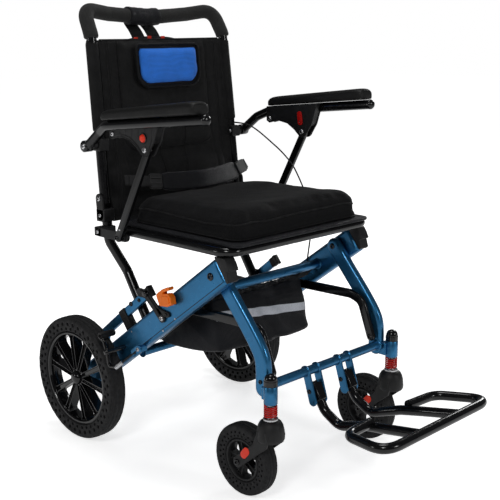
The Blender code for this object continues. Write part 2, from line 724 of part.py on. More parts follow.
def fold_latch():
    """Latch plate on the right beam with its orange thumb tab."""
    x = -(BEAM_OUT + 0.0030)
    outline = strip([LATCH_PIVOT, (-0.2350, 0.3500), (-0.2080, 0.3720), (-0.1850, 0.3760)], 0.0085)
    finish(plate([outline], x, 0.0040), "latch_plate", "black_plastic")
    tab = [(-0.2480, 0.3640), (-0.2740, 0.3560), (-0.2900, 0.3720), (-0.2820, 0.3960), (-0.2560, 0.3800)]
    foot = [(-0.2380, 0.3560), (-0.2560, 0.3520), (-0.2700, 0.3600), (-0.2600, 0.3700), (-0.2450, 0.3680)]
    outer = x - 0.0020 - GAP
    piece = unite(plate([tab], outer - 0.0080, 0.0120), plate([foot], outer - 0.0025, 0.0050))
    finish(piece, "latch_tab", "orange_plastic")


def brake_arm(side, tag):
    """Bent rod whose upper end presses on the tyre's tread."""
    inner = side * 0.2240
    outer = side * 0.2680
    path = [at(outer, (-0.0960, 0.2640)), at(inner, (-0.0960, 0.2640)), at(inner, (-0.1150, 0.2580)),
            at(inner, BRAKE_PIVOT), at(inner, (-0.1310, 0.2030)), at(inner, (-0.1560, 0.2080))]
    return finish(tube(rounded(path, 0.008, 3), 0.0040), f"brake_arm_{tag}", "black_tube")


def brake_lever():
    """Hand lever behind the left upright, hinged at its foot."""
    blade = plate([strip([LEVER_PIVOT, (0.0290, 0.8300), (0.0310, 0.8760)], 0.0060)], 0.1780, 0.0120)
    return finish(bevel(blade, 0.002, 1), "brake_lever", "black_plastic")


# ---- build ---------------------------------------------------------------------------------

for old in list(bpy.data.objects):
    bpy.data.objects.remove(old, do_unlink=True)
PARTS = new_collection("wheelchair")
CUTTERS = new_collection("cutters")

cross_tubes()
storage_bag()
brake_cable()
front_cross_tube()
footrest()
seat_frame()
seat_cushion()
push_bar_frame()
handle_foam()
backrest_fabric()
head_pad()
lap_belt()
fold_latch()
brake_lever()
for SIDE, TAG in SIDES:
    main_beam(SIDE, TAG)
    beam_cap(SIDE, TAG)
    guide_bar(SIDE, TAG)
    rear_wheel(SIDE, TAG)
    front_leg(SIDE, TAG)
    caster(SIDE, TAG)
    fold_link(SIDE, TAG)
    back_tube(SIDE, TAG)
    armrest(SIDE, TAG)
    support_bar(SIDE, TAG)
    brake_arm(SIDE, TAG)
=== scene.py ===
"""Looks of the folding manual wheelchair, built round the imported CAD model.

Side-view points are (y, z) pairs measured from the floor below the rear axle, as in the CAD source.
side = -1 is the user's right, side = +1 the user's left. A piece's name ends in r or l to match.
"""
import json
from math import atan2, cos, pi, radians, sin, sqrt, tan

import bmesh
import bpy
from mathutils import Matrix, Vector
from mathutils.bvhtree import BVHTree

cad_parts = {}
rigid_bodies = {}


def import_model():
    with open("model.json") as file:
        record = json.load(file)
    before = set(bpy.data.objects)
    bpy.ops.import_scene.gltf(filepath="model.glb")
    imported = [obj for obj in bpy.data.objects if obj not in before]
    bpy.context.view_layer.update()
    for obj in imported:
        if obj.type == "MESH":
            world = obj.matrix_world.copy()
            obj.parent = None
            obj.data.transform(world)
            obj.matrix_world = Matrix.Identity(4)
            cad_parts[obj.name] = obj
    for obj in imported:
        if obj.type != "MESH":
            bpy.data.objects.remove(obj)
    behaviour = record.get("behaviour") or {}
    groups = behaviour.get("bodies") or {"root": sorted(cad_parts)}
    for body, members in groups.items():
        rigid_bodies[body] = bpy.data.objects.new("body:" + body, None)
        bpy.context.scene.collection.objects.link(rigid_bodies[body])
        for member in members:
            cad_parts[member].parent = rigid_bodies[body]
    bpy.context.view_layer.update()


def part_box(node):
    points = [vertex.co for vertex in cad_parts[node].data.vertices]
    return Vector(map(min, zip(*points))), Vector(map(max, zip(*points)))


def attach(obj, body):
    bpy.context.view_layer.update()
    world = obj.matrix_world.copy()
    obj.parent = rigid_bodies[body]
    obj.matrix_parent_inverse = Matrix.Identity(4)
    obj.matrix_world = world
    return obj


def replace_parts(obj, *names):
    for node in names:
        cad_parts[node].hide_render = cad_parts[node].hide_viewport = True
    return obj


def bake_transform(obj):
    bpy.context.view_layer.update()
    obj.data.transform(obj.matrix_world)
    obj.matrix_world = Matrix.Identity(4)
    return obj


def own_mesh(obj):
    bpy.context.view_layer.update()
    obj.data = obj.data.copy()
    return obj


for old in list(bpy.data.objects):
    bpy.data.objects.remove(old, do_unlink=True)
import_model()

# ---- places and sizes, in metres ------------------------------------------------------------

SIDES = ((-1, "r"), (1, "l"))
TYRE_LOW, TYRE_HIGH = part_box("rear_tyre_r")
AXLE_Y = (TYRE_LOW.y + TYRE_HIGH.y) / 2
WHEEL_R = (TYRE_HIGH.z - TYRE_LOW.z) / 2
WHEEL_X = -(TYRE_LOW.x + TYRE_HIGH.x) / 2
WHEEL_W = TYRE_HIGH.x - TYRE_LOW.x
CASTER_LOW, CASTER_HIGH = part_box("caster_tyre_r")
CASTER_R = (CASTER_HIGH.z - CASTER_LOW.z) / 2
CASTER_X = -(CASTER_LOW.x + CASTER_HIGH.x) / 2
CASTER_W = CASTER_HIGH.x - CASTER_LOW.x
CASTER_HUB = ((CASTER_LOW.y + CASTER_HIGH.y) / 2 - AXLE_Y, CASTER_R)
STEM_Y = -0.5443
GAP = 0.0003

BEAM_SLOPE = radians(36.3)
BEAM_LEN = 0.536
BEAM_HALF = 0.0288
BEAM_X = 0.2055
BEAM_T = 0.028
BEAM_IN = BEAM_X - BEAM_T / 2
BEAM_OUT = BEAM_X + BEAM_T / 2
GUIDE_X = 0.198

SEAT_Z = 0.497
SEAT_R = 0.0095
SEAT_X = 0.215
SEAT_PIVOT = (-0.1405, 0.486)
BACK_X = 0.202
LOW_X = 0.178
BACK_R = 0.011
BACK_PIVOT = (-0.1316, 0.331)
BACKREST_PIVOT = (-0.0490, 0.5565)
BACK_TOP_X = 0.1960
LEG_PIVOT = (-0.390, 0.440)
LEG_X = 0.1805
LEG_T = 0.019
LEG_BOLT = (-0.4040, 0.4440)
LINK_LEG = (-0.514, 0.2575)
LINK_BACK = (-0.178, 0.260)
LINK_X = 0.1600
CROSS = (-0.522, 0.237)
HEAD_TOP, HEAD_BOTTOM = 0.2473, 0.2103
FOOT_PIVOT = (-0.5335, 0.197)
FOOT_FRONT_Y = -0.8050
FOOT_R = 0.0100
RAIL_X = 0.0505
ARM_PIN = (-0.0410, 0.6735)
ARM_BOLT = (-0.2466, 0.6830)
BUTTON = (-0.2433, 0.7064)
ARM_REAR_X, ARM_FRONT_X = 0.2375, 0.2490
ARM_DROP = 0.0111
PAD_X = 0.2498
LATCH_PIVOT = (-0.2580, 0.3290)
BRAKE_PIVOT = (-0.1250, 0.2350)
LEVER_PIVOT = (0.0130, 0.8075)

CAMERA_PLACE = (-1.502, -1.436, 0.928)
CAMERA_AIM = (0.6956, 0.6827, -0.2237)
CAMERA_ROLL = radians(-0.2)
CAMERA_LENS = 70.8


# ---- materials ------------------------------------------------------------------------------

class Look:
    """A Principled material with short calls for the nodes that give it detail."""

    def __init__(self, name, colour, rough, **sockets):
        self.material = bpy.data.materials.new(name)
        self.material.use_nodes = True
        self.tree = self.material.node_tree
        self.shader = self.tree.nodes["Principled BSDF"]
        self.colour = colour
        self.shader.inputs["Base Color"].default_value = (*colour, 1.0)
        self.shader.inputs["Roughness"].default_value = rough
        for key, value in sockets.items():
            self.shader.inputs[key.replace("_", " ")].default_value = value
        self.place = self.node("ShaderNodeTexCoord").outputs["Object"]

    def node(self, kind, **settings):
        made = self.tree.nodes.new(kind)
        for key, value in settings.items():
            setattr(made, key, value)
        return made

    def link(self, a, b):
        self.tree.links.new(a, b)
        return b

    def scaled(self, x, y, z):
        """Object coordinates, stretched."""
        mapping = self.node("ShaderNodeMapping")
        mapping.inputs["Scale"].default_value = (x, y, z)
        self.link(self.place, mapping.inputs["Vector"])
        return mapping.outputs["Vector"]

    def noise(self, scale, detail=3.0, rough=0.55, vector=None):
        made = self.node("ShaderNodeTexNoise")
        made.inputs["Scale"].default_value = scale
        made.inputs["Detail"].default_value = detail
        made.inputs["Roughness"].default_value = rough
        self.link(vector or self.place, made.inputs["Vector"])
        return made.outputs["Fac"]

    def cells(self, scale, feature="F1", vector=None):
        made = self.node("ShaderNodeTexVoronoi", feature=feature)
        made.inputs["Scale"].default_value = scale
        self.link(vector or self.place, made.inputs["Vector"])
        return made.outputs["Distance"]

    def waves(self, scale, direction):
        made = self.node("ShaderNodeTexWave", bands_direction=direction)
        made.inputs["Scale"].default_value = scale
        self.link(self.place, made.inputs["Vector"])
        return made.outputs["Fac"]

    def math(self, operation, a, b):
        made = self.node("ShaderNodeMath", operation=operation)
        for i, value in enumerate((a, b)):
            if isinstance(value, (int, float)):
                made.inputs[i].default_value = value
            else:
                self.link(value, made.inputs[i])
        return made.outputs[0]

    def span(self, value, low, high, to_low, to_high):
        made = self.node("ShaderNodeMapRange")
        made.inputs["From Min"].default_value = low
        made.inputs["From Max"].default_value = high
        made.inputs["To Min"].default_value = to_low
        made.inputs["To Max"].default_value = to_high
        self.link(value, made.inputs["Value"])
        return made.outputs["Result"]

    def tint(self, value, dark, light):
        """Base colour that goes between two colours with value."""
        ramp = self.node("ShaderNodeValToRGB")
        ramp.color_ramp.elements[0].color = (*dark, 1.0)
        ramp.color_ramp.elements[1].color = (*light, 1.0)
        self.link(value, ramp.inputs["Fac"])
        self.link(ramp.outputs["Color"], self.shader.inputs["Base Color"])
        return self

    def roughness(self, value, low, high):
        self.link(self.span(value, 0.3, 0.7, low, high), self.shader.inputs["Roughness"])
        return self

    def bump(self, height, distance):
        """Adds a bump; later ones go on top of earlier ones."""
        made = self.node("ShaderNodeBump")
        made.inputs["Distance"].default_value = distance
        self.link(height, made.inputs["Height"])
        before = self.shader.inputs["Normal"].links
        if before:
            self.link(before[0].from_socket, made.inputs["Normal"])
        self.link(made.outputs["Normal"], self.shader.inputs["Normal"])
        return self

    def edges(self):
        """0 on flats and in corners, 1 on worn outer edges."""
        point = self.node("ShaderNodeNewGeometry").outputs["Pointiness"]
        worn = self.span(point, 0.53, 0.62, 0.0, 1.0)
        return self.math("MULTIPLY", worn, self.span(self.noise(60), 0.4, 0.65, 0.0, 1.0))


def shade(colour, factor):
    return tuple(min(1.0, c * factor) for c in colour)


def blue_paint():
    look = Look("blue_paint", (0.027, 0.157, 0.325), 0.33,
                Metallic=0.85, Coat_Weight=0.18, Coat_Roughness=0.08)
    flake = look.cells(1400.0)
    cloud = look.noise(9.0, 2.0)
    mixed = look.math("ADD", look.math("MULTIPLY", flake, 0.35), look.math("MULTIPLY", cloud, 0.7))
    look.tint(mixed, shade(look.colour, 0.72), shade(look.colour, 1.38))
    look.roughness(look.noise(140.0), 0.26, 0.40)
    return look.bump(look.noise(420.0, 2.0), 0.00005).material


def black_tube():
    look = Look("black_tube", (0.003, 0.003, 0.0035), 0.20,
                Specular_IOR_Level=0.36, Coat_Weight=0.18, Coat_Roughness=0.04)
    look.tint(look.math("MAXIMUM", look.edges(), look.math("MULTIPLY", look.noise(30.0), 0.3)),
              (0.0015, 0.0015, 0.002), (0.008, 0.008, 0.009))
    look.roughness(look.noise(90.0), 0.13, 0.24)
    return look.bump(look.noise(700.0, 2.0), 0.00006).material


def black_plastic():
    look = Look("black_plastic", (0.010, 0.010, 0.011), 0.5, Specular_IOR_Level=0.35)
    look.tint(look.math("ADD", look.edges(), look.math("MULTIPLY", look.noise(50.0), 0.4)),
              (0.004, 0.004, 0.0045), (0.016, 0.016, 0.017))
    look.roughness(look.noise(60.0), 0.40, 0.58)
    return look.bump(look.cells(1500.0), 0.00010).material


def pad_plastic():
    look = Look("pad_plastic", (0.012, 0.012, 0.012), 0.5, Specular_IOR_Level=0.25)
    look.tint(look.noise(400.0), (0.003, 0.003, 0.003), (0.009, 0.009, 0.009))
    look.roughness(look.noise(40.0), 0.42, 0.58)
    look.bump(look.cells(900.0, "SMOOTH_F1"), 0.00022)
    return look.bump(look.noise(2200.0), 0.00006).material


def gloss_black():
    look = Look("gloss_black", (0.003, 0.003, 0.003), 0.14,
                Specular_IOR_Level=0.4, Coat_Weight=0.2, Coat_Roughness=0.03)
    look.tint(look.noise(80.0), (0.002, 0.002, 0.002), (0.007, 0.007, 0.008))
    look.roughness(look.noise(160.0), 0.07, 0.16)
    return look.bump(look.noise(500.0), 0.00002).material


def tyre_rubber():
    look = Look("tyre_rubber", (0.012, 0.012, 0.013), 0.75, Specular_IOR_Level=0.3)
    look.tint(look.noise(70.0, 5.0), (0.005, 0.005, 0.0055), (0.019, 0.019, 0.020))
    look.roughness(look.noise(120.0), 0.62, 0.85)
    look.bump(look.noise(900.0, 4.0), 0.00012)
    return look.bump(look.noise(50.0), 0.0002).material


def steel():
    look = Look("steel", (0.60, 0.60, 0.62), 0.28, Metallic=1.0)
    fine = look.noise(1200.0, 2.0, vector=look.scaled(0.15, 1.0, 1.0))
    cloud = look.math("MULTIPLY", look.noise(60.0), 0.5)
    look.tint(look.math("ADD", look.math("MULTIPLY", fine, 0.5), cloud),
              (0.36, 0.36, 0.37), (0.80, 0.80, 0.82))
    look.roughness(look.noise(90.0), 0.18, 0.40)
    return look.bump(fine, 0.00003).material


def gloss_plastic(name, colour, dim):
    look = Look(name, colour, 0.36, Specular_IOR_Level=0.25, Coat_Weight=0.05, Coat_Roughness=0.1)
    look.tint(look.math("ADD", look.edges(), look.math("MULTIPLY", look.noise(90.0), 0.7)),
              shade(colour, dim), shade(colour, 1.12))
    look.roughness(look.noise(150.0), 0.24, 0.42)
    return look.bump(look.noise(900.0, 2.0), 0.00004).material


def mesh_fabric():
    """Knitted spacer mesh: rows of small holes over a dark backing."""
    look = Look("mesh_fabric", (0.006, 0.006, 0.0065), 0.85,
                Specular_IOR_Level=0.12, Sheen_Weight=0.02, Sheen_Roughness=0.5)
    holes = look.cells(420.0, "SMOOTH_F1", look.scaled(1.0, 1.0, 1.25))
    mottle = look.noise(26.0, 4.0)
    both = look.math("ADD", look.span(holes, 0.10, 0.55, 0.0, 0.7), look.math("MULTIPLY", mottle, 0.45))
    look.tint(both, (0.0010, 0.0010, 0.0012), (0.0085, 0.0085, 0.0092))
    look.roughness(mottle, 0.78, 0.95)
    look.bump(holes, 0.0009)
    return look.bump(look.noise(1800.0), 0.00015).material


def woven(name, colour, pitch, rough, sheen, depth=0.00022):
    """Plain weave: crossed sets of ribs, pitch apart, with cloudy wear."""
    look = Look(name, colour, rough, Specular_IOR_Level=0.2, Sheen_Weight=sheen * 0.15, Sheen_Roughness=0.45)
    per_metre = 0.314 / pitch
    weft = look.waves(per_metre, "X")
    warp = look.waves(per_metre, "Z")
    deep = look.waves(per_metre, "Y")
    weave = look.math("MAXIMUM", weft, look.math("MULTIPLY", look.math("ADD", warp, deep), 0.5))
    cloud = look.noise(22.0, 4.0)
    look.tint(look.math("ADD", look.math("MULTIPLY", weave, 0.4), look.math("MULTIPLY", cloud, 0.6)),
              shade(colour, 0.55), shade(colour, 1.7))
    look.roughness(look.noise(45.0), max(0.05, rough - 0.1), min(1.0, rough + 0.1))
    look.bump(weave, depth)
    return look.bump(look.noise(140.0, 3.0), 0.0004).material


def webbing():
    look = Look("webbing", (0.008, 0.008, 0.009), 0.65,
                Specular_IOR_Level=0.2, Sheen_Weight=0.02, Sheen_Roughness=0.4)
    ribs = look.math("MAXIMUM", look.waves(190.0, "X"), look.waves(190.0, "Z"))
    look.tint(look.math("MULTIPLY", ribs, look.noise(80.0)), (0.004, 0.004, 0.0045), (0.026, 0.026, 0.027))
    look.roughness(look.noise(70.0), 0.55, 0.75)
    return look.bump(ribs, 0.0003).material


def foam_look():
    look = Look("foam", (0.010, 0.010, 0.010), 0.9,
                Specular_IOR_Level=0.3, Sheen_Weight=0.05, Sheen_Roughness=0.6)
    look.tint(look.noise(300.0, 5.0, 0.7), (0.006, 0.006, 0.006), (0.030, 0.030, 0.029))
    look.roughness(look.noise(60.0), 0.82, 0.96)
    look.bump(look.cells(1300.0), 0.00030)
    return look.bump(look.noise(90.0), 0.0006).material


def reflective():
    look = Look("reflective", (0.30, 0.32, 0.36), 0.45, Specular_IOR_Level=0.5)
    grid = look.cells(700.0)
    cloud = look.math("MULTIPLY", look.noise(60.0), 0.5)
    look.tint(look.math("ADD", look.math("MULTIPLY", grid, 0.6), cloud),
              (0.34, 0.36, 0.40), (0.80, 0.83, 0.90))
    look.roughness(look.noise(120.0), 0.30, 0.48)
    return look.bump(grid, 0.0002).material


LOOKS = {
    "blue_paint": blue_paint(), "black_tube": black_tube(), "black_plastic": black_plastic(),
    "pad_plastic": pad_plastic(), "gloss_black": gloss_black(), "tyre_rubber": tyre_rubber(),
    "steel": steel(),
    "red_paint": gloss_plastic("red_paint", (0.52, 0.006, 0.004), 0.75),
    "bright_red": gloss_plastic("bright_red", (0.86, 0.045, 0.018), 0.85),
    "orange_plastic": gloss_plastic("orange_plastic", (1.0, 0.19, 0.006), 0.85),
    "mesh_fabric": mesh_fabric(),
    "nylon": woven("nylon", (0.0058, 0.0060, 0.0080), 0.0011, 0.50, 0.15),
    "back_fabric": woven("back_fabric", (0.0055, 0.0055, 0.0058), 0.0013, 0.72, 0.2),
    "blue_fabric": woven("blue_fabric", (0.026, 0.155, 0.66), 0.0012, 0.82, 0.4, 0.00015),
    "piping": woven("piping", (0.004, 0.004, 0.0045), 0.0009, 0.6, 0.1),
    "webbing": webbing(), "foam": foam_look(), "reflective": reflective(),
}
SLOT_OF = {
    "pad_plastic": "black_plastic", "gloss_black": "black_plastic", "mesh_fabric": "black_fabric",
    "nylon": "black_fabric", "back_fabric": "black_fabric", "piping": "black_fabric",
    "webbing": "black_fabric", "reflective": "black_fabric", "bright_red": "red_paint",
}


# ---- shapes ---------------------------------------------------------------------------------

def at(x, point):
    """World position of a side-view point."""
    return Vector((x, point[0] + AXLE_Y, point[1]))


def rounded(points, radius, steps=8):
    """A path through points whose inner corners are curved."""
    points = [Vector(p) for p in points]
    path = [points[0]]
    for before, corner, after in zip(points, points[1:], points[2:]):
        one = (before - corner).normalized()
        two = (after - corner).normalized()
        half = one.angle(two) / 2
        longest = 0.49 * min((before - corner).length, (after - corner).length)
        reach = min(radius / max(0.001, tan(half)), longest)
        start = corner + one * reach
        end = corner + two * reach
        for i in range(steps + 1):
            t = i / steps
            path.append(start * (1 - t) ** 2 + corner * 2 * t * (1 - t) + end * t * t)
    path.append(points[-1])
    return path


def smooth_route(points, per_span=8, closed=False):
    """Points along a smooth curve through all the given points."""
    points = [Vector(p) for p in points]
    if closed:
        around = [points[-1], *points, points[0], points[1]]
    else:
        around = [points[0] * 2 - points[1], *points, points[-1] * 2 - points[-2]]
    path = []
    for a, b, c, d in zip(around, around[1:], around[2:], around[3:]):
        for i in range(per_span):
            t = i / per_span
            path.append(0.5 * (2 * b + (c - a) * t + (2 * a - 5 * b + 4 * c - d) * t ** 2
                               + (3 * b - a - 3 * c + d) * t ** 3))
    if not closed:
        path.append(points[-1])
    return path


def ring_of(radius, sides):
    """Cross-section of a tube, as (across, up) offsets."""
    return [(radius * cos(2 * pi * i / sides), radius * sin(2 * pi * i / sides)) for i in range(sides)]


def oval_of(across, up, sides, lift=0.0):
    """Oval cross-section, with its middle lifted."""
    return [(across * cos(a), up * sin(a) + lift) for a in (2 * pi * i / sides for i in range(sides))]


def band_of(width, thick, edge=3):
    """Cross-section of a flat strap with round edges."""
    half = width / 2 - thick / 2
    right = [(half + thick / 2 * cos(a), thick / 2 * sin(a))
             for a in (radians(-90 + 180 * i / edge) for i in range(edge + 1))]
    middle = [(half * k, thick / 2) for k in (0.5, 0.0, -0.5)]
    return right + middle + [(-u, -v) for u, v in right] + [(-u, -v) for u, v in middle]


def sweep(name, path, section, closed=False, up=None, sizes=None):
    """A section carried along a path. up is a fixed direction that the section's up stays near."""
    path = [Vector(p) for p in path]
    count = len(path)
    along = []
    for i in range(count):
        before = path[(i - 1) % count] if closed else path[max(i - 1, 0)]
        after = path[(i + 1) % count] if closed else path[min(i + 1, count - 1)]
        along.append((after - before).normalized())
    lift = Vector(up) if up is not None else along[0].orthogonal()
    lift = (lift - along[0] * lift.dot(along[0])).normalized()
    rings = []
    for i in range(count):
        wanted = Vector(up) if up is not None else lift
        lift = (wanted - along[i] * wanted.dot(along[i])).normalized()
        across = along[i].cross(lift)
        size = sizes[i] if sizes else 1.0
        rings.append([path[i] + (across * u + lift * v) * size for u, v in section])
    return skin(name, rings, closed)


def skin(name, rings, closed=False):
    """Faces between rings of points, with flat ends unless the last ring joins the first."""
    work = bmesh.new()
    rings = [[work.verts.new(p) for p in ring] for ring in rings]
    sides = len(rings[0])
    for i in range(len(rings) if closed else len(rings) - 1):
        a = rings[i]
        b = rings[(i + 1) % len(rings)]
        for j in range(sides):
            work.faces.new((a[j], a[(j + 1) % sides], b[(j + 1) % sides], b[j]))
    if not closed:
        work.faces.new(rings[0][::-1])
        work.faces.new(rings[-1])
    return from_bmesh(name, work)


def prism(name, corners, shift):
    """A flat face made solid along shift."""
    work = bmesh.new()
    face = work.faces.new([work.verts.new(p) for p in corners])
    made = bmesh.ops.extrude_face_region(work, geom=[face])
    moved = [v for v in made["geom"] if isinstance(v, bmesh.types.BMVert)]
    bmesh.ops.translate(work, vec=shift, verts=moved)
    return from_bmesh(name, work)


def from_bmesh(name, work):
    bmesh.ops.recalc_face_normals(work, faces=work.faces)
    mesh = bpy.data.meshes.new(name)
    work.to_mesh(mesh)
    work.free()
    obj = bpy.data.objects.new(name, mesh)
    bpy.context.scene.collection.objects.link(obj)
    return obj


def tube(name, path, radius, closed=False, sides=20):
    return sweep(name, path, ring_of(radius, sides), closed)


def plate(name, outline, x, thickness):
    """A flat side-view outline made thick along X. x is its middle."""
    return prism(name, [at(x - thickness / 2, p) for p in outline], (thickness, 0, 0))


def block(name, x0, x1, low, high):
    corners = [low, (high[0], low[1]), high, (low[0], high[1])]
    return plate(name, corners, (x0 + x1) / 2, abs(x1 - x0))


def turned(name, profile, origin, axis="X", steps=64, flip=1, closed=False):
    """A turned piece from (radius, height) pairs; height runs along the axis."""
    work = bmesh.new()
    rings = []
    for radius, height in profile:
        if radius < 1e-7:
            rings.append([work.verts.new((0, 0, height))])
        else:
            rings.append([work.verts.new((u, v, height)) for u, v in ring_of(radius, steps)])
    pairs = list(zip(rings, rings[1:]))
    if closed:
        pairs.append((rings[-1], rings[0]))
    for a, b in pairs:
        for i in range(steps):
            j = (i + 1) % steps
            corners = [a[i % len(a)], a[j % len(a)], b[j % len(b)], b[i % len(b)]]
            unique = list(dict.fromkeys(corners))
            if len(unique) > 2:
                work.faces.new(unique)
    turn = Matrix.Rotation(flip * pi / 2, 4, "Y") if axis == "X" else Matrix.Identity(4)
    bmesh.ops.transform(work, matrix=Matrix.Translation(origin) @ turn, verts=work.verts)
    return from_bmesh(name, work)


def arc(centre, radius, start, end, steps):
    angles = [radians(start + (end - start) * i / steps) for i in range(steps + 1)]
    return [(centre[0] + radius * cos(a), centre[1] + radius * sin(a)) for a in angles]


def rounded_box(reach_x, reach_y, radius, steps):
    """Outline with four round corners, whose centres are reach_x and reach_y from the middle."""
    outline = []
    for i, (x, y) in enumerate(((1, 1), (-1, 1), (-1, -1), (1, -1))):
        outline += arc((x * reach_x, y * reach_y), radius, 90 * i, 90 * i + 90, steps)
    return outline


def mirrored(half):
    """A turned ring's profile from the half with height above 0. The last pair is on the middle."""
    return half + [(r, -z) for r, z in reversed(half[:-1])]


def strip(points, half, steps=10):
    """Outline of a bar with round ends that follows a side-view path."""
    path = [Vector(p) for p in points]
    left, right = [], []
    for i, here in enumerate(path):
        along = (path[min(i + 1, len(path) - 1)] - path[max(i - 1, 0)]).normalized()
        across = Vector((-along.y, along.x)) * half
        left.append(tuple(here + across))
        right.append(tuple(here - across))
    ends = []
    for tip, inner in ((path[-1], path[-2]), (path[0], path[1])):
        out = (tip - inner).normalized()
        turn = atan2(out.y, out.x)
        ends.append([(tip.x + half * cos(turn + pi / 2 - pi * i / steps),
                      tip.y + half * sin(turn + pi / 2 - pi * i / steps)) for i in range(1, steps)])
    return left + ends[0] + right[::-1] + ends[1]


def bent(points, radius, steps=8):
    """Side-view path with curved corners, as (y, z) pairs."""
    return [(p.x, p.y) for p in rounded([(y, z, 0) for y, z in points], radius, steps)]


def modifier(obj, kind, **settings):
    made = obj.modifiers.new(kind.lower(), kind)
    for key, value in settings.items():
        setattr(made, key, value)
    return made


def bevel(obj, width, segments=3):
    modifier(obj, "BEVEL", width=width, segments=segments, limit_method="ANGLE", angle_limit=radians(35))
    return obj


def apply_all(obj):
    """Replaces a piece's mesh by its evaluated one."""
    bpy.context.view_layer.update()
    evaluated = obj.evaluated_get(bpy.context.evaluated_depsgraph_get())
    mesh = bpy.data.meshes.new_from_object(evaluated)
    obj.modifiers.clear()
    obj.data = mesh
    return obj


def combine(base, others, operation="UNION"):
    for other in others:
        apply_all(other)
        modifier(base, "BOOLEAN", operation=operation, solver="EXACT", object=other)
    apply_all(base)
    for other in others:
        bpy.data.objects.remove(other, do_unlink=True)
    return base


def join(name, pieces):
    """Several finished shapes as one piece; their materials are kept."""
    work = bmesh.new()
    slots = []
    for piece in pieces:
        apply_all(piece)
        mesh = piece.data
        mesh.transform(piece.matrix_world)
        found = mesh.materials[0] if mesh.materials else None
        if found not in slots:
            slots.append(found)
        before = len(work.faces)
        work.from_mesh(mesh)
        work.faces.ensure_lookup_table()
        for face in work.faces[before:]:
            face.material_index = slots.index(found)
        bpy.data.objects.remove(piece, do_unlink=True)
    mesh = bpy.data.meshes.new(name)
    work.to_mesh(mesh)
    work.free()
    for slot in slots:
        mesh.materials.append(slot)
    obj = bpy.data.objects.new(name, mesh)
    bpy.context.scene.collection.objects.link(obj)
    return obj


def paint(obj, look, smooth=40.0):
    obj.data.materials.clear()
    obj.data.materials.append(LOOKS[look])
    obj.data.shade_smooth()
    if smooth:
        obj.data.set_sharp_from_angle(angle=radians(smooth))
    return obj


def fit(obj, name, look, body, *nodes, smooth=40.0, slot=None):
    """Names a piece, paints it, and puts it on its body in place of CAD nodes."""
    apply_all(obj)
    obj.name = name
    if look:
        paint(obj, look, smooth)
    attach(obj, body)
    if nodes:
        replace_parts(obj, *nodes)
    return obj


def assemble(parts, look, name, body, *nodes, smooth=40.0):
    """Parts of one look, painted, joined as one piece, and put on their body in place of CAD nodes."""
    for part in parts:
        paint(part, look, smooth)
    return fit(join(name, parts), name, None, body, *nodes, slot=SLOT_OF.get(look, look))


def bolt(name, body, x, point, radius=0.0055, side=1, look="gloss_black", height=0.0032):
    """Button-head bolt with a round socket. side is the way its head points along X."""
    r = radius
    dome = [(r * 0.45, height * 0.35), (r * 0.45, height), (r * 0.62, height), (r * 0.86, height * 0.72),
            (r, height * 0.3), (r, 0.0), (0.0, 0.0), (0.0, height * 0.35)]
    head = turned(name, dome, at(x, point), steps=24, flip=side)
    return fit(head, name, look, body, slot="steel")


# ---- rear wheels ----------------------------------------------------------------------------

def honeycomb_tyre(name, x, centre, outer, inner, width, cells, rows, hole_depth):
    """Solid tyre whose side walls hold staggered rows of round pockets, with a block tread.

    rows are each pocket row's (inner, outer) radius. There are two mesh columns for each pocket.
    """
    h = width / 2
    wall = outer - inner
    side = [(inner, h * 0.84)]
    marks = []
    for low, high in rows:
        side += [(low, h * (0.86 + 0.14 * (low - inner) / wall)),
                 (high, h * (0.88 + 0.12 * (high - inner) / wall))]
        marks.append(len(side) - 2)
    side += [(outer - wall * 0.17, h * 0.97), (outer - wall * 0.05, h * 0.80)]
    tread = [(outer - wall * 0.010, h * 0.62), (outer - wall * 0.045, h * 0.56),
             (outer - wall * 0.045, h * 0.46), (outer, h * 0.42), (outer, h * 0.10),
             (outer - wall * 0.05, h * 0.06)]
    half = side + tread
    profile = half + [(r, -z) for r, z in reversed(half)]
    count = cells * 2
    work = bmesh.new()
    rings = []
    for r, z in profile:
        rings.append([work.verts.new((z, r * cos(2 * pi * i / count), r * sin(2 * pi * i / count)))
                      for i in range(count)])
    size = len(profile)
    blocked = (len(side) - 2, len(side) + 2)
    pockets = []
    blocks = []
    for j in range(size):
        k = (j + 1) % size
        mirrored_j = size - 2 - j
        row = next((m for m in marks if m in (j, mirrored_j)), None)
        for i in range(count):
            n = (i + 1) % count
            face = work.faces.new((rings[j][i], rings[j][n], rings[k][n], rings[k][i]))
            if row is not None and (i + marks.index(row)) % 2:
                pockets.append(face)
            if (j in blocked or mirrored_j in blocked) and i % 2 == j % 2:
                blocks.append(face)
    bmesh.ops.recalc_face_normals(work, faces=work.faces)
    bmesh.ops.inset_individual(work, faces=pockets, thickness=0.0004, depth=0.0)
    bmesh.ops.inset_individual(work, faces=pockets, thickness=0.0003, depth=-0.0012)
    bmesh.ops.inset_individual(work, faces=pockets, thickness=0.0003, depth=-hole_depth)
    bmesh.ops.inset_individual(work, faces=blocks, thickness=0.0010, depth=0.0)
    bmesh.ops.inset_individual(work, faces=blocks, thickness=0.0003, depth=-0.0012)
    bmesh.ops.transform(work, matrix=Matrix.Translation(at(x, centre)), verts=work.verts)
    made = from_bmesh(name, work)
    modifier(made, "SUBSURF", levels=1, render_levels=1)
    return made


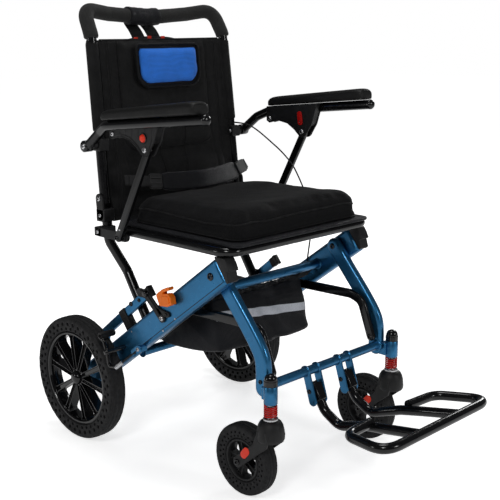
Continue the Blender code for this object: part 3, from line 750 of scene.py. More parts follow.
def spoke(name, x, centre, angle, start, end, half_start, half_end, depth):
    """Tapered spoke with a hollow down each face."""
    along = Vector((cos(radians(angle)), sin(radians(angle))))
    across = Vector((-along.y, along.x))
    middle = Vector(centre)
    corners = [(start, half_start), (end - 0.008, half_end), (end, half_end * 1.8), (end, -half_end * 1.8),
               (end - 0.008, -half_end), (start, -half_start)]
    made = plate(name, [tuple(middle + along * a + across * b) for a, b in corners], x, depth)
    work = bmesh.new()
    work.from_mesh(made.data)
    faces = [f for f in work.faces if abs(f.normal.x) > 0.9]
    bmesh.ops.inset_individual(work, faces=faces, thickness=min(half_start, half_end) * 0.42, depth=0.0)
    bmesh.ops.inset_individual(work, faces=faces, thickness=0.0004, depth=-depth * 0.22)
    work.to_mesh(made.data)
    work.free()
    return bevel(made, 0.0007, 2)


def rear_wheel(side, tag):
    centre = (0, WHEEL_R)
    x = side * WHEEL_X
    body = f"rear_wheel_{tag}"
    inner = 0.1080
    rows = [(0.1114, 0.1200), (0.1212, 0.1318)]
    rubber = honeycomb_tyre("tyre", x, centre, WHEEL_R, inner, WHEEL_W, 40, rows, 0.009)
    fit(rubber, f"tyre_{tag}", "tyre_rubber", body, f"rear_tyre_{tag}", smooth=50)

    edge = inner - GAP
    lip = [(edge, 0.0160), (edge - 0.0022, 0.0172), (edge - 0.0055, 0.0168), (edge - 0.0070, 0.0150),
           (edge - 0.0085, 0.0070), (edge - 0.0092, 0.0)]
    parts = [turned("rim", mirrored(lip), at(x, centre), steps=120, closed=True)]
    for i in range(5):
        for angle in (72 * i + 9, 72 * i + 41):
            parts.append(spoke("spoke", x, centre, angle, 0.012, edge - 0.0080, 0.0050, 0.0068, 0.0240))
    hub = [(0.0066, 0.0110), (0.0130, 0.0110), (0.0150, 0.0132), (0.0178, 0.0132), (0.0192, 0.0105),
           (0.0210, 0.0080), (0.0210, -0.0080), (0.0192, -0.0105), (0.0066, -0.0110)]
    parts.append(turned("hub", hub, at(x, centre), steps=64, closed=True))
    assemble(parts, "gloss_black", f"wheel_{tag}", body, f"rear_wheel_{tag}", smooth=35)

    dome = [(0.0, 0.0106), (0.0055, 0.0103), (0.0105, 0.0086), (0.0142, 0.0054), (0.0156, 0.0015),
            (0.0156, 0.0), (0.0, 0.0)]
    cap = turned("cap", dome, at(side * 0.2628, centre), steps=40, flip=side)
    fit(cap, f"hub_cap_{tag}", "gloss_black", "main_frame")
    shaft = turned("shaft", [(0.0, 0.0795), (0.0060, 0.0795), (0.0060, 0.0), (0.0, 0.0)],
                   at(side * 0.187, centre), steps=24, flip=side)
    nut = turned("nut", [(0.0, 0.0040), (0.0090, 0.0040), (0.0100, 0.0030), (0.0100, 0.0), (0.0, 0.0)],
                 at(side * 0.1848, centre), steps=6, flip=side)
    assemble([shaft, nut], "steel", f"axle_{tag}", "main_frame", f"rear_axle_{tag}")


# ---- main frame -----------------------------------------------------------------------------

def on_beam(along, across):
    return (-along * cos(BEAM_SLOPE) + across * sin(BEAM_SLOPE),
            WHEEL_R + along * sin(BEAM_SLOPE) + across * cos(BEAM_SLOPE))


def main_beam(side, tag):
    """Oval extrusion, so its edges are wide curves and its flat faces are narrow."""
    rear = [on_beam(BEAM_HALF * cos(a), BEAM_HALF * sin(a))
            for a in (radians(90 + 180 * i / 24) for i in range(25))]
    outline = [on_beam(BEAM_LEN, -BEAM_HALF), on_beam(BEAM_LEN, BEAM_HALF), *rear]
    beam = bevel(plate("beam", outline, side * BEAM_X, BEAM_T), 0.0088, 6)
    fit(beam, f"beam_{tag}", "blue_paint", "main_frame", f"main_beam_{tag}", smooth=60)

    start = BEAM_LEN + GAP
    saddle = SEAT_Z - SEAT_R - GAP * 2
    outline = [on_beam(start, -BEAM_HALF), on_beam(start, BEAM_HALF), (-0.4155, saddle), (-0.4420, saddle),
               (-0.4500, 0.4760), (-0.4565, 0.4620), on_beam(start + 0.0145, -0.010),
               on_beam(start + 0.0080, -BEAM_HALF)]
    cap = bevel(plate("cap", outline, side * BEAM_X, BEAM_T), 0.0035, 4)
    fit(cap, f"end_cap_{tag}", "black_plastic", "main_frame", f"beam_cap_{tag}")

    tip = Vector((-0.1910, 0.3695))
    tail = Vector((-0.0130, 0.2300))
    along = (tip - tail).normalized()
    up = Vector((along.y, -along.x)) * 0.010
    foot = BEAM_HALF + GAP
    outline = [tuple(tail + up), tuple(tip + up), tuple(tip - up), tuple(tail + along * 0.030 - up),
               on_beam(0.062, foot), on_beam(0.022, foot)]
    bar = bevel(plate("guide", outline, side * GUIDE_X, 0.011), 0.0016, 3)
    fit(bar, f"guide_{tag}", "blue_paint", "main_frame", f"guide_bar_{tag}")
    ribs = []
    for i in range(5):
        foot = tip + along * (0.0040 - i * 0.0042)
        half = along * (0.0016 if i else 0.0030)
        wide = up * (1.10 if i else 1.22)
        corners = [foot - half - wide, foot + half - wide, foot + half + wide, foot - half + wide]
        ribs.append(plate("rib", corners, side * GUIDE_X, 0.0140))
    plug = join("plug", [bevel(r, 0.0008, 2) for r in ribs])
    fit(plug, f"guide_plug_{tag}", "black_plastic", "main_frame")

    outer = side * (BEAM_OUT - 0.0002)
    bolt(f"leg_bolt_{tag}", "main_frame", outer, LEG_BOLT, 0.0082, side, "gloss_black", 0.0040)
    for i, (along, across) in enumerate(((0.352, -0.020), (0.300, -0.0245), (0.200, 0.018))):
        rivet = turned("rivet", [(0.0, 0.0011), (0.0016, 0.0008), (0.0021, 0.0), (0.0, 0.0)],
                       at(outer, on_beam(along, across)), steps=16, flip=side)
        fit(rivet, f"beam_rivet_{i}_{tag}", "steel", "main_frame")
    trim = [at(outer, on_beam(0.020 + 0.51 * i / 20, -BEAM_HALF + 0.0075)) for i in range(21)]
    fit(tube("trim", trim, 0.0008, sides=8), f"beam_trim_{tag}", "black_plastic", "main_frame", smooth=0)
    guide_out = side * (GUIDE_X + 0.0054)
    bolt(f"guide_bolt_a_{tag}", "main_frame", guide_out, (-0.1600, 0.3450), 0.0045, side)
    bolt(f"guide_bolt_b_{tag}", "main_frame", guide_out, BACK_PIVOT, 0.0055, side)
    fit(ribbed_band(side), f"guide_strap_{tag}", "black_plastic", "main_frame")


def ribbed_band(side):
    """Ribbed rubber band round the guide bar."""
    along = Vector((-0.1780, 0.1395)).normalized()
    across = Vector((along.y, -along.x))
    middle = Vector((-0.1060, 0.3000))
    parts = []
    for i in range(7):
        foot = middle + along * (i - 3) * 0.0032
        corners = [foot + across * 0.0135 - along * 0.0013, foot + across * 0.0135 + along * 0.0013,
                   foot - across * 0.0360 + along * 0.0013, foot - across * 0.0360 - along * 0.0013]
        parts.append(bevel(plate("rib", corners, side * GUIDE_X, 0.0170), 0.0006, 2))
    corners = [middle + across * 0.0125 - along * 0.0108, middle + across * 0.0125 + along * 0.0108,
               middle - across * 0.0350 + along * 0.0108, middle - across * 0.0350 - along * 0.0108]
    parts.append(bevel(plate("core", corners, side * GUIDE_X, 0.0150), 0.0006, 2))
    return join("band", parts)


def cross_tubes():
    inner = BEAM_IN - GAP
    for name, node, point, radius in (("cross_tube_middle", "mid_cross_tube", (-0.329, 0.386), 0.0105),
                                      ("cross_tube_rear", "rear_cross_tube", (-0.150, 0.222), 0.0100)):
        parts = [tube("cross", [at(-inner, point), at(inner, point)], radius, sides=32)]
        for side in (-1, 1):
            bead = [(radius + 0.0004, 0.0030), (radius + 0.0022, 0.0018), (radius + 0.0026, 0.0),
                    (radius - 0.001, 0.0), (radius - 0.001, 0.0030)]
            parts.append(turned("bead", bead, at(side * inner, point), steps=32, flip=-side, closed=True))
        assemble(parts, "blue_paint", name, "main_frame", node, smooth=50)


# ---- front legs and casters -----------------------------------------------------------------

def front_leg(side, tag):
    bends = [LEG_PIVOT, (-0.4316, 0.391), (-0.468, 0.349), (-0.4960, 0.3135), (-0.5080, 0.2920),
             (-0.5120, 0.2700), (-0.5125, 0.2300)]
    path = [(p.x, p.y) for p in smooth_route([(y, z, 0) for y, z in bends], 5)]
    leg = bevel(plate("leg", strip(path, 0.0175, 16), side * LEG_X, LEG_T), 0.0072, 6)
    x = side * CASTER_X
    tall = HEAD_TOP - HEAD_BOTTOM
    sleeve = [(0.0086, tall), (0.0130, tall), (0.0138, tall - 0.0008), (0.0138, 0.0008), (0.0130, 0.0),
              (0.0086, 0.0)]
    head = turned("head", sleeve, at(x, (STEM_Y, HEAD_BOTTOM)), "Z", closed=True, steps=48)
    gusset = block("gusset", side * 0.176, side * 0.200, (-0.5405, 0.2150), (-0.5230, 0.2420))
    bevel(gusset, 0.002, 2)
    assemble([leg, head, gusset], "blue_paint", f"leg_{tag}", "front_legs", f"front_leg_{tag}", smooth=60)
    face = side * (LEG_X + LEG_T / 2 - 0.0002)
    bolt(f"foot_bolt_{tag}", "front_legs", face, (-0.5120, 0.2450), 0.0046, side)
    inner = side * (LEG_X - LEG_T / 2 + 0.0002)
    bolt(f"link_bolt_{tag}", "front_legs", side * (LINK_X - 0.0053), LINK_LEG, 0.0068, -side)
    bolt(f"pivot_pin_{tag}", "front_legs", inner, LEG_PIVOT, 0.0068, -side)


def front_cross_tube():
    reach = LEG_X - LEG_T / 2 - GAP
    parts = [tube("bar", [at(-reach, CROSS), at(reach, CROSS)], 0.0095, sides=32)]
    lug = strip([(CROSS[0] - 0.003, CROSS[1] - 0.004), (-0.5425, 0.1770)], 0.0095, 12)
    for rail in (-RAIL_X, RAIL_X):
        for edge in (-0.0165, 0.0165):
            parts.append(bevel(plate("lug", lug, rail + edge, 0.004), 0.0008, 2))
            bead = [(0.0100, 0.0034), (0.0122, 0.0014), (0.0126, -0.0014), (0.0100, -0.0034)]
            parts.append(turned("bead", bead, at(rail + edge, CROSS), steps=32, closed=True))
    for side in (-1, 1):
        bead = [(0.0100, 0.0030), (0.0122, 0.0016), (0.0126, 0.0), (0.0090, 0.0), (0.0090, 0.0030)]
        parts.append(turned("bead", bead, at(side * reach, CROSS), steps=32, flip=-side, closed=True))
    assemble(parts, "blue_paint", "cross_tube_front", "front_legs", "front_cross_tube", smooth=50)
    for rail, tag in ((-RAIL_X, "r"), (RAIL_X, "l")):
        bolt(f"rest_bolt_{tag}", "front_legs", rail - 0.0184, FOOT_PIVOT, 0.0052, -1)
        bolt(f"rest_nut_{tag}", "front_legs", rail + 0.0184, FOOT_PIVOT, 0.0052, 1)


def caster(side, tag):
    x = side * CASTER_X
    hub = CASTER_HUB
    body = f"caster_wheel_{tag}"
    rows = [(0.0482, 0.0538), (0.0556, 0.0622)]
    rubber = honeycomb_tyre("tyre", x, hub, CASTER_R, 0.0445, CASTER_W, 30, rows, 0.007)
    fit(rubber, f"small_tyre_{tag}", "tyre_rubber", body, f"caster_tyre_{tag}", smooth=50)
    edge = 0.0445 - GAP
    lip = [(edge, 0.0130), (edge - 0.0016, 0.0142), (edge - 0.0042, 0.0138), (edge - 0.0056, 0.0118),
           (edge - 0.0072, 0.0040), (edge - 0.0076, 0.0)]
    parts = [turned("rim", mirrored(lip), at(x, hub), steps=96, closed=True)]
    for i in range(5):
        parts.append(spoke("spoke", x, hub, 72 * i, 0.0060, edge - 0.0060, 0.0062, 0.0054, 0.0170))
    core = [(0.0046, 0.0168), (0.0090, 0.0168), (0.0110, 0.0150), (0.0110, -0.0150), (0.0090, -0.0168),
            (0.0046, -0.0168)]
    parts.append(turned("core", core, at(x, hub), steps=40, closed=True))
    assemble(parts, "black_plastic", f"small_wheel_{tag}", body, f"caster_wheel_{tag}", smooth=35)

    fork_body = f"caster_fork_{tag}"
    arm = [(STEM_Y - 0.0165, 0.1440), (STEM_Y - 0.0120, 0.1270), *arc(hub, 0.0120, 215, 395, 14),
           (STEM_Y + 0.0250, 0.1250), (STEM_Y + 0.0180, 0.1440), (STEM_Y + 0.0120, 0.1600),
           (STEM_Y - 0.0120, 0.1600)]
    parts = []
    for face in (-1, 1):
        parts.append(bevel(plate("arm", arm, x + face * 0.0233, 0.0060), 0.0022, 4))
    shell = [(0.0, 0.0330), (0.0110, 0.0330), (0.0165, 0.0318), (0.0215, 0.0282), (0.0252, 0.0215),
             (0.0274, 0.0120), (0.0284, 0.0), (0.0282, -0.0060), (0.0262, -0.0100), (0.0215, -0.0100),
             (0.0, -0.0100)]
    parts.append(turned("dome", shell, at(x, (STEM_Y, 0.1452)), "Z", steps=64))
    assemble(parts, "black_plastic", f"fork_{tag}", fork_body, f"caster_fork_{tag}", smooth=50)
    slant = Vector((hub[0] - (STEM_Y + 0.004), hub[1] - 0.150)).normalized()
    middle = Vector((hub[0], hub[1])) - slant * 0.0345
    for face, name in ((-1, "near"), (1, "far")):
        oval = strip([tuple(middle - slant * 0.0062), tuple(middle + slant * 0.0062)], 0.0082, 14)
        badge = bevel(plate("oval", oval, x + face * 0.0264, 0.0012), 0.0004, 2)
        fit(badge, f"reflector_{name}_{tag}", "bright_red", fork_body)
        bolt(f"axle_head_{name}_{tag}", fork_body, x + face * 0.0262, hub, 0.0066, face, height=0.0040)
    pin = turned("pin", [(0.0, 0.026), (0.004, 0.026), (0.004, -0.026), (0.0, -0.026)], at(x, hub), steps=24)
    fit(pin, f"small_axle_{tag}", "steel", fork_body, f"caster_axle_{tag}")

    low = 0.1775 + 0.0006
    ring = [(0.0084, 0.0038), (0.0140, 0.0038), (0.0150, 0.0028), (0.0150, 0.0), (0.0084, 0.0)]
    seat = turned("seat", ring, at(x, (STEM_Y, low)), "Z", closed=True, steps=40)
    fit(seat, f"spring_cup_{tag}", "steel", f"caster_slider_{tag}", f"spring_seat_{tag}")
    stem = turned("stem", [(0.0, 0.0335), (0.0080, 0.0335), (0.0080, 0.0), (0.0, 0.0)],
                  at(x, (STEM_Y, 0.1772)), "Z", steps=32)
    fit(stem, f"stem_{tag}", "steel", fork_body)

    wire = 0.0017
    coil = 0.0121
    turns = 5.5
    z0 = low + 0.0040 + GAP + wire
    z1 = HEAD_BOTTOM - GAP - wire
    count = int(turns * 24)
    helix = []
    for i in range(count + 1):
        turn = 2 * pi * turns * i / count
        helix.append(at(x + coil * cos(turn), (STEM_Y + coil * sin(turn), z0 + (z1 - z0) * i / count)))
    spring = tube("spring", helix, wire, sides=10)
    fit(spring, f"spring_{tag}", "red_paint", "front_legs", f"caster_spring_{tag}", smooth=80)
    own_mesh(spring)

    lid = [(0.0, 0.0240), (0.0040, 0.0237), (0.0085, 0.0218), (0.0118, 0.0176), (0.0130, 0.0125),
           (0.0130, 0.0108), (0.0138, 0.0100), (0.0138, 0.0), (0.0, 0.0)]
    cap = turned("cap", lid, at(x, (STEM_Y, HEAD_TOP + GAP)), "Z", steps=48)
    fit(cap, f"head_cap_{tag}", "gloss_black", "front_legs", f"caster_cap_{tag}")


def fold_link(side, tag):
    path = bent([LINK_LEG, (-0.4850, 0.3350), (-0.4550, 0.3440), (-0.2850, 0.3400), LINK_BACK], 0.03)
    link = bevel(plate("link", strip(path, 0.010), side * LINK_X, 0.011), 0.0035, 4)
    fit(link, f"link_{tag}", "black_tube", f"fold_link_{tag}", f"fold_link_{tag}", smooth=60)


def footrest():
    profile = [(-0.5262, 0.2120), (-0.5600, 0.1580), (-0.6000, 0.1360), (-0.6730, 0.1600), (-0.7230, 0.1695),
               (FOOT_FRONT_Y, 0.1850)]
    spread = [0.0, 0.0, 0.0, 0.0060, 0.0110, 0.0160]
    parts = []
    for side in (-1, 1):
        path = [at(side * (RAIL_X + s), p) for s, p in zip(spread, profile)]
        parts.append(tube("rail", rounded(path, 0.035), FOOT_R, sides=32))
        sleeve = rounded([at(side * RAIL_X, p) for p in ((-0.5290, 0.2095), (-0.5480, 0.1772))], 0.01)
        square = [(-0.0112, -0.0112), (0.0112, -0.0112), (0.0112, 0.0112), (-0.0112, 0.0112)]
        parts.append(bevel(sweep("sleeve", sleeve, square, up=(0, 0.5, 0.86)), 0.0022, 3))
        parts.append(turned("boss", [(0.0, 0.0139), (0.0075, 0.0139), (0.0075, -0.0139), (0.0, -0.0139)],
                            at(side * RAIL_X, FOOT_PIVOT), steps=24))
    half = [(0.0620, -0.6860), (0.1450, -0.6930), (0.1760, FOOT_FRONT_Y)]
    half = [(x, y, 0.1640 - (y + 0.6) * 0.1024) for x, y in half]
    loop = [at(-x, (y, z)) for x, y, z in half] + [at(x, (y, z)) for x, y, z in reversed(half)]
    parts.append(tube("loop", rounded(loop, 0.035, 10), FOOT_R, sides=32))
    assemble(parts, "black_tube", "foot_loop", "footrest", "footrest", smooth=50)


# ---- back tubes, seat -----------------------------------------------------------------------

def back_tube(side, tag):
    x = side * BACK_X
    low = side * LOW_X
    path = [at(x, (-0.0513, 0.5350)), at(x, (-0.0597, 0.4620)), at(low, (-0.0898, 0.3950)),
            at(low, LINK_BACK)]
    stem = tube("stem", rounded(path, 0.045, 10), BACK_R, sides=32)
    inner = side * (BACK_X - 0.0130)
    arm = bevel(block("arm", inner, side * 0.2302, (-0.0690, 0.4760), (-0.0440, 0.4960)), 0.002, 3)
    reach = plate("reach", strip([(-0.0580, 0.4860), SEAT_PIVOT], 0.0100), side * 0.2280, 0.0044)
    bevel(reach, 0.0008, 2)
    clamp = bevel(block("clamp", inner, side * 0.2185, (-0.0660, 0.5060), (-0.0380, 0.5345)), 0.002, 3)
    ear = plate("ear", strip([(-0.0525, 0.5200), BACKREST_PIVOT], 0.0115), side * 0.2160, 0.0050)
    bevel(ear, 0.0008, 2)
    boss = turned("boss", [(0.0, 0.0139), (0.0085, 0.0139), (0.0085, 0.0), (0.0, 0.0)],
                  at(low, BACK_PIVOT), steps=24, flip=side)
    paint(stem, "black_tube", 60)
    paint(boss, "black_tube", 60)
    for part in (arm, reach, clamp, ear):
        paint(part, "black_plastic", 40)
    made = join("back", [stem, arm, reach, clamp, ear, boss])
    fit(made, f"lower_back_{tag}", None, "back_frame", f"back_tube_{tag}", slot="black_tube")
    bolt(f"ear_bolt_{tag}", "back_frame", side * 0.2183, BACKREST_PIVOT, 0.0056, side, "steel")
    bolt(f"clamp_bolt_{tag}", "back_frame", side * 0.2183, (-0.0520, 0.5200), 0.0046, side, "steel")
    bolt(f"arm_bolt_{tag}", "back_frame", side * 0.2300, (-0.0565, 0.4860), 0.0046, side, "steel")
    bolt(f"seat_bolt_{tag}", "back_frame", side * 0.2300, SEAT_PIVOT, 0.0060, side, "gloss_black", 0.0009)
    plug = turned("plug", [(0.0, 0.0), (0.0100, 0.0), (0.0112, 0.0015), (0.0112, 0.0045), (0.0, 0.0045)],
                  at(low, (LINK_BACK[0], LINK_BACK[1] - 0.0042)), "Z", steps=32)
    fit(plug, f"tube_plug_{tag}", "black_plastic", "back_frame")


def seat_frame():
    front, rear = (-0.450, SEAT_Z), (-0.115, SEAT_Z)
    corners = [at(-SEAT_X, front), at(SEAT_X, front), at(SEAT_X, rear), at(-SEAT_X, rear)]
    middle = (corners[3] + corners[0]) / 2
    path = rounded([middle, *corners, middle], 0.034, 14)
    loop = tube("loop", path[:-1], SEAT_R, closed=True, sides=32)
    fit(loop, "seat_loop", "black_tube", "seat", "seat_frame", smooth=60)
    for side, tag in SIDES:
        eye = turned("eye", [(0.0, 0.0080), (0.0105, 0.0080), (0.0118, 0.0065), (0.0118, 0.0), (0.0, 0.0)],
                     at(side * 0.2170, SEAT_PIVOT), steps=32, flip=side)
        fit(eye, f"seat_eye_{tag}", "black_plastic", "seat")


def push_bar():
    half = [(BACK_X, -0.0499, 0.5450), (BACK_TOP_X, -0.0145, 0.905), (0.1910, 0.0170, 0.9620),
            (0.1160, 0.0300, 0.9520), (0.0, 0.0330, 0.9440)]
    points = [at(-x, (y, z)) for x, y, z in half] + [at(x, (y, z)) for x, y, z in reversed(half[:-1])]
    path = rounded(points, 0.045, 12)
    parts = [tube("bar", path, BACK_R, sides=32)]
    paint(parts[0], "black_tube", 60)
    for side in (-1, 1):
        clamp = block("clamp", side * (BACK_X - 0.013), side * (BACK_X + 0.013),
                      (ARM_PIN[0] - 0.014, ARM_PIN[1] - 0.013), (ARM_PIN[0] + 0.014, ARM_PIN[1] + 0.013))
        boss = turned("boss", [(0.0, 0.0112), (0.0085, 0.0112), (0.0095, 0.0100), (0.0095, 0.0), (0.0, 0.0)],
                      at(side * (BACK_X + 0.0130), ARM_PIN), steps=40, flip=side)
        for part in (bevel(clamp, 0.0022, 3), boss):
            paint(part, "black_plastic")
            parts.append(part)
    grip = bevel(block("grip", 0.170, 0.200, (-0.018, 0.7985), (0.006, 0.8165)), 0.002, 3)
    paint(grip, "black_plastic")
    parts.append(grip)
    fit(join("bar", parts), "push_bar", None, "backrest", "push_bar_frame", slot="black_tube")
    for side, tag in SIDES:
        profile = [(0.0, 0.0085), (0.0022, 0.0085), (0.0040, 0.0070), (0.0046, 0.0035), (0.0040, 0.0),
                   (0.0, 0.0)]
        foot = at(side * (BACK_X - 0.004), (ARM_PIN[0] + 0.002, ARM_PIN[1] + 0.0125))
        fit(turned("pin", profile, foot, "Z", steps=24), f"clamp_pin_{tag}", "steel", "backrest")
        bolt(f"clamp_screw_{tag}", "backrest", side * (BACK_X - 0.0128), (ARM_PIN[0] - 0.004, ARM_PIN[1]),
             0.0048, -side, "steel")

    closer = dense([p for p in path if p.z > 0.900], 0.004)
    sizes = [min(1.0, 0.90 + 0.05 * min(i, len(closer) - 1 - i)) for i in range(len(closer))]
    sizes = [s + 0.010 * sin(i * 0.37) * sin(i * 0.11) for i, s in enumerate(sizes)]
    foam = sweep("foam", closer, ring_of(0.0160, 32), sizes=sizes)
    fit(foam, "grip_foam", "foam", "backrest", "handle_foam", smooth=60)


def dense(path, step):
    """The same path with points no further apart than step."""
    path = [Vector(p) for p in path]
    out = [path[0]]
    for a, b in zip(path, path[1:]):
        pieces = max(1, int((b - a).length / step))
        out += [a.lerp(b, (i + 1) / pieces) for i in range(pieces)]
    return out


# ---- armrests -------------------------------------------------------------------------------

def pad_bottom(y):
    return 0.7362 + 0.1 * (-y - 0.134)


def arm_tube(side, tag):
    body = f"armrest_{tag}"
    front = -0.4300
    tip = at(side * ARM_FRONT_X, (front, pad_bottom(front) - ARM_DROP))
    path = [at(side * ARM_REAR_X, (-0.0450, 0.6745)), at(side * ARM_REAR_X, (-0.0900, 0.7080)),
            at(side * ARM_FRONT_X, (-0.1250, pad_bottom(-0.1250) - ARM_DROP)), tip]
    bar = tube("bar", rounded(path, 0.035, 10), 0.0105, sides=32)
    eye = [(0.0, 0.0106), (0.0112, 0.0106), (0.0125, 0.0092), (0.0125, -0.0092), (0.0112, -0.0106),
           (0.0, -0.0106)]
    lug = turned("eye", eye, at(side * 0.2374, ARM_PIN), steps=40)
    assemble([bar, lug], "black_tube", f"arm_{tag}", body, f"arm_tube_{tag}", smooth=60)
    bolt(f"arm_pin_{tag}", body, side * 0.2478, ARM_PIN, 0.0060, side, "steel")
    dome = [(0.0, 0.0058), (0.0045, 0.0056), (0.0080, 0.0042), (0.0103, 0.0014), (0.0110, -0.0010),
            (0.0110, -0.0040), (0.0, -0.0040)]
    plug = turned("plug", dome, (0, 0, 0), "Z", steps=40)
    plug.data.transform(Matrix.Translation(tip) @ Matrix.Rotation(radians(84.3), 4, "X"))
    fit(plug, f"arm_plug_{tag}", "gloss_black", body)


def arm_pad(side, tag):
    """Moulded pad: crowned top, rounded ends, a parting line round its lower edge."""
    start, end = -0.1340, -0.4160
    stations = [-0.1320, -0.1340, -0.1390, -0.1480, *[-0.1620 - 0.0236 * i for i in range(10)],
                -0.3900, -0.4030, -0.4110, -0.4160, -0.4180]
    count = 40
    rings = []
    for y in stations:
        near_end = min(-0.1318 - y, y + 0.4182)
        fill = sqrt(max(0.0, 1 - max(0.0, 1 - near_end / 0.022) ** 2.4))
        top = 0.7575 + (-0.132 - y) / 0.286 * 0.0330
        low = pad_bottom(min(start, max(end, y)))
        half = 0.0234 * (0.72 + 0.28 * fill)
        top = low + (top - low) * (0.62 + 0.38 * fill)
        ring = []
        for i in range(count):
            a = 2 * pi * i / count
            u = abs(cos(a)) ** 0.55 * (1 if cos(a) >= 0 else -1)
            v = abs(sin(a)) ** (0.75 if sin(a) > 0 else 0.35) * (1 if sin(a) >= 0 else -1)
            middle = low + (top - low) * 0.38
            z = middle + v * ((top - middle) if v > 0 else (middle - low))
            ring.append(at(side * PAD_X + half * u, (y, z)))
        rings.append(ring)
    pad = skin("pad", rings)
    modifier(pad, "SUBSURF", levels=1, render_levels=1)
    fit(pad, f"pad_{tag}", "pad_plastic", f"armrest_{tag}", f"arm_pad_{tag}", smooth=0)
    lip = []
    for a, b in ((start - 0.006, 1), (end + 0.006, -1)):
        lip += [at(side * PAD_X + b * 0.0208, (a, pad_bottom(a) + 0.0035)),
                at(side * PAD_X - b * 0.0208, (a, pad_bottom(a) + 0.0035))]
    middle = (lip[0] + lip[3]) / 2
    bead = tube("bead", rounded([middle, *lip, middle], 0.016, 8)[:-1], 0.0017, closed=True, sides=8)
    fit(bead, f"pad_seam_{tag}", "pad_plastic", f"armrest_{tag}")


def bracket_outline():
    top = pad_bottom(-0.1330) - 0.0004
    return [(-0.1330, top), (-0.1330, 0.7020), (-0.1420, 0.6970), (-0.1700, 0.7040), (-0.2000, 0.6990),
            (-0.2220, 0.6860), *arc(ARM_BOLT, 0.014, 315, 200, 14), (-0.2760, 0.7010),
            (-0.2930, pad_bottom(-0.2930) - 0.0004)]


def bracket(side, tag):
    """Moulded arch under the pad, with ribs that follow its edge and a slot for the support bar."""
    body = f"armrest_{tag}"
    outline = bracket_outline()
    outer_plate = bevel(plate("outer", outline, side * 0.2462, 0.0036), 0.0009, 2)
    inner_plate = bevel(plate("inner", outline, side * 0.2280, 0.0036), 0.0009, 2)
    core = [(-0.1345, pad_bottom(-0.1345) - 0.0006), (-0.1345, 0.7040), (-0.1420, 0.6990), (-0.1700, 0.7060),
            (-0.2000, 0.7010), (-0.2180, 0.6960), (-0.2660, 0.6960), (-0.2745, 0.7025),
            (-0.2915, pad_bottom(-0.2915) - 0.0006)]
    core = plate("core", core, side * 0.2371, 0.0186)
    for part in (outer_plate, core):
        bore = [(0.0, 0.0070), (0.0088, 0.0070), (0.0088, 0.0), (0.0, 0.0)]
        combine(part, [turned("bore", bore, at(side * 0.2442, BUTTON), steps=40, flip=side)], "DIFFERENCE")
    parts = [outer_plate, inner_plate, core]
    for inset in (0.0012, 0.0060):
        line = [(y, z + inset) for y, z in outline[1:-1]]
        line[0] = (line[0][0] - inset, line[0][1])
        line[-1] = (line[-1][0] + inset, line[-1][1])
        ridge = [at(side * 0.2482, p) for p in bent(line, 0.008, 4)]
        parts.append(tube("ridge", ridge, 0.0009, sides=8))
    for i, foot in enumerate((0.7050, 0.7075, 0.7060, 0.7020, 0.7020, 0.7040, 0.7060)):
        y = -0.1450 - 0.0205 * i
        rib = [at(side * 0.2478, (y, foot)), at(side * 0.2478, (y - 0.002, pad_bottom(y) - 0.0035))]
        parts.append(tube("rib", rib, 0.0008, sides=8))
    assemble(parts, "black_plastic", f"bracket_{tag}", body, f"arm_bracket_{tag}")
    outer = side * 0.2480
    inner = side * 0.2263
    bolt(f"bracket_bolt_{tag}", body, outer, ARM_BOLT, 0.0062, side, "steel", 0.0036)
    bolt(f"bracket_screw_{tag}", body, outer, (-0.1440, 0.7080), 0.0052, side, "steel")
    bolt(f"inner_screw_{tag}", body, inner, (-0.1440, 0.7080), 0.0052, -side, "steel")
    bolt(f"inner_bolt_{tag}", body, inner, ARM_BOLT, 0.0062, -side, "steel", 0.0034)
    well = [(0.0094, 0.0022), (0.0108, 0.0022), (0.0116, 0.0010), (0.0116, 0.0), (0.0094, 0.0)]
    rim = turned("well", well, at(side * 0.2481, BUTTON), steps=40, flip=side, closed=True)
    fit(rim, f"button_ring_{tag}", "gloss_black", body)
    head = [(0.0, 0.0052), (0.0040, 0.0050), (0.0066, 0.0040), (0.0080, 0.0020), (0.0084, 0.0), (0.0, 0.0)]
    knob = turned("knob", head, at(side * 0.2484, BUTTON), steps=40, flip=side)
    fit(knob, f"button_{tag}", "bright_red", f"arm_button_{tag}", f"arm_button_{tag}")
    slide = strip([(-0.2430, 0.7050), (-0.2405, 0.7230)], 0.0072, 14)
    slider = bevel(plate("slider", slide, side * 0.2248, 0.0026), 0.0009, 3)
    fit(slider, f"slider_{tag}", "red_paint", f"arm_button_{tag}")
    dot = turned("dot", [(0.0, 0.0006), (0.0019, 0.0006), (0.0019, 0.0), (0.0, 0.0)],
                 at(side * 0.2235, (-0.2428, 0.7070)), steps=20, flip=-side)
    fit(dot, f"slider_dot_{tag}", "steel", f"arm_button_{tag}")


def support_bar(side, tag):
    body = f"support_bar_{tag}"
    bar = plate("bar", strip([SEAT_PIVOT, ARM_BOLT], 0.0090, 14), side * 0.23725, 0.0125)
    bevel(bar, 0.0044, 5)
    fit(bar, f"strut_{tag}", "black_tube", body, f"support_bar_{tag}", smooth=60)
    bolt(f"strut_bolt_{tag}", body, side * 0.2432, SEAT_PIVOT, 0.0056, side)
    place = tuple(Vector(SEAT_PIVOT).lerp(Vector(ARM_BOLT), 0.10))
    rivet = turned("rivet", [(0.0, 0.0012), (0.0020, 0.0009), (0.0026, 0.0), (0.0, 0.0)],
                   at(side * 0.2434, place), steps=20, flip=side)
    fit(rivet, f"strut_rivet_{tag}", "steel", body)


# ---- latch, parking brake -------------------------------------------------------------------

